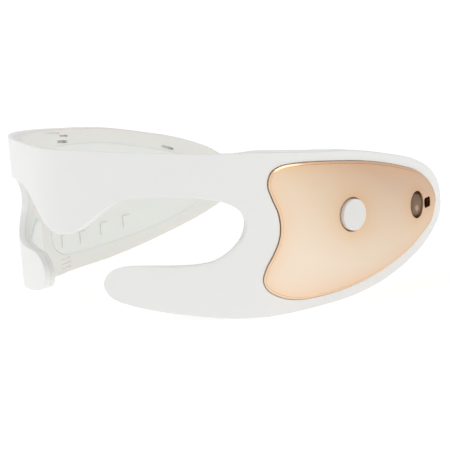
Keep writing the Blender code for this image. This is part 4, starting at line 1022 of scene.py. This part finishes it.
def power_button():
    """The cap: a shallow crown, a round rim, a straight side and the flange behind the shell."""
    top = -PLATE_RAISE - BUTTON_RAISE
    face = BUTTON_RADIUS - FLAT_RING * BUTTON_ROUND
    crown = [(share * face, top + share * share * BUTTON_DOME) for share in np.linspace(0, 1, CROWN_POINTS)]
    rim_rings = round_edge(BUTTON_ROUND, top + BUTTON_DOME, steps=6)[1:]
    rim = [(BUTTON_RADIUS - inset, depth) for inset, depth in rim_rings]
    flange_top = FRONT_WALL + GAP
    flange_back = flange_top + BUTTON_FLANGE_THICKNESS
    outer = BUTTON_RADIUS + BUTTON_FLANGE
    profile = crown + rim + [
        (BUTTON_RADIUS, flange_top), (outer, flange_top), (outer, flange_back), (0, flange_back),
    ]
    material = plastic("button_plastic", (0.80, 0.79, 0.77), 0.30, 0.03, coat=0.3)
    cap = turned_piece("button_cap", profile, standing_at(BUTTON_SHARE, LEFT), material, "button")
    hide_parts("power_button")


power_button()


# The strap sockets: dark bronze metal cups that take the studs of a head strap. Each is turned, set through
# its plate from behind and clamped by a ring nut, and a pressed tray lines the notch beside it.
SOCKET_FLOOR_DEPTH = 0.0026
SOCKET_FLOOR_HOLLOW = 0.0003
SOCKET_FLOOR_THICKNESS = 0.0009
BOWL_ROUND = (0.0043, 0.00345)
DISH_POINTS = 7
BOWL_POINTS = 9
CUP_LIP = 0.0001
LIP_CROWN = ((0.3, 0.4), (0.7, 0.4), (1, 0))
TRAY_WALL = 0.0003
TRAY_FLOOR_DEPTH = 0.0014
TRAY_FLANGE = (0.00065, 0.0001)


def strap_socket(label, side, material):
    """The cup: a hollow floor that runs up in a wide round to a thin crowned lip inside the plate's hole, and
    a flange under the plate."""
    rim = PLATE_THICKNESS - PLATE_RAISE + GAP
    barrel = SOCKET_RADIUS + SOCKET_WALL
    lip = SOCKET_RADIUS - INNER_GAP - CUP_LIP
    floor_edge = lip - BOWL_ROUND[0]
    lip_top = SOCKET_FLOOR_DEPTH - BOWL_ROUND[1]
    back = SOCKET_FLOOR_DEPTH + SOCKET_FLOOR_HOLLOW + SOCKET_FLOOR_THICKNESS
    dish = [
        (share * floor_edge, SOCKET_FLOOR_DEPTH + (1 - share * share) * SOCKET_FLOOR_HOLLOW)
        for share in np.linspace(0, 1, DISH_POINTS)
    ]
    bowl = [
        (floor_edge + BOWL_ROUND[0] * math.sin(a), SOCKET_FLOOR_DEPTH - BOWL_ROUND[1] * (1 - math.cos(a)))
        for a in np.linspace(0, math.pi / 2, BOWL_POINTS)[1:]
    ]
    crown = [(lip + across * CUP_LIP, lip_top - rise * CUP_LIP) for across, rise in LIP_CROWN]
    outer, under = barrel + SOCKET_FLANGE, rim + SOCKET_FLANGE_THICKNESS
    profile = dish + bowl + crown + [
        (lip + CUP_LIP, rim), (outer, rim), (outer, under), (barrel, under), (barrel, back), (0, back),
    ]
    cup = turned_piece(f"socket_{label}", profile, standing_at(SOCKET_SHARE, side), material)
    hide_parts(f"strap_socket_{label}")


def notch_tray(label, side, material):
    """The metal lining of the notch, in a darker copy of the cup's bronze that is painted shade: a shallow
    open box under the plate, with a thin flange on the seat that reaches the cup's."""
    body = Moulding()
    outline = box_loop(NOTCH_SIZE, NOTCH_CORNER, place_of(NOTCH_SHARE, side), step=EDGE_STEP / 3)
    top, under = PLATE_THICKNESS - PLATE_RAISE + INNER_GAP, NOTCH_DEPTH - INNER_GAP
    reach, thick = TRAY_FLANGE
    rings = [
        (TRAY_WALL, TRAY_FLOOR_DEPTH), (TRAY_WALL, top), (-reach, top),
        (-reach, top + thick), (0, top + thick), (0, under),
    ]
    inner, outer = body.wall(drawn_in(outline, INNER_GAP), rings)
    body.fill([inner], outwards=True)
    body.fill([outer], outwards=False)
    tray = body.piece(f"notch_tray_{label}", material)
    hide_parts(f"strap_socket_{label}")


bronze = polished_metal("dark_bronze", (0.245, 0.175, 0.125), (0.225, 0.155, 0.11), (0.21, 0.145, 0.10), 0.28)
# A darker copy of the cup's bronze for the notch's lining: painted shade of the deep notch.
painted_shade_bronze = polished_metal("painted_shade_bronze", (0.16, 0.08, 0.05), (0.14, 0.07, 0.04), (0.12, 0.06, 0.035), 0.32)
strap_socket("left", LEFT, bronze)
strap_socket("right", RIGHT, bronze)
notch_tray("left", LEFT, painted_shade_bronze)
notch_tray("right", RIGHT, painted_shade_bronze)


# The charging contacts: two gold plated pins that stand on the right board, in the cover's holes and just
# below its face.
BOARD_BACK = 0.0071
CONTACT_SINK = 0.0004
CONTACT_ROUND = 0.0002


def charge_contact(number, place, material):
    """A pin with a round on its end."""
    near, far = BOARD_BACK + INNER_GAP, TEMPLE_THICKNESS - CONTACT_SINK
    tip = [(CHARGE_PIN_RADIUS - inset, depth) for inset, depth in far_edge(CONTACT_ROUND, far)[:-1]]
    profile = [(0, near), (CHARGE_PIN_RADIUS, near)] + tip + [(0, far)]
    share = (abs(place[0]) / BAND_LENGTH, place[1] / BAND_HEIGHT)
    pin = turned_piece(f"contact_{number}", profile, standing_at(share, RIGHT), material)
    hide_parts(f"charge_contact_{number}")


gold_plate = polished_metal("gold_plate", (0.85, 0.64, 0.33), (0.83, 0.62, 0.31), (0.80, 0.59, 0.28), 0.25)
for number, place in enumerate(charge_places(), 1):
    charge_contact(number, place, gold_plate)
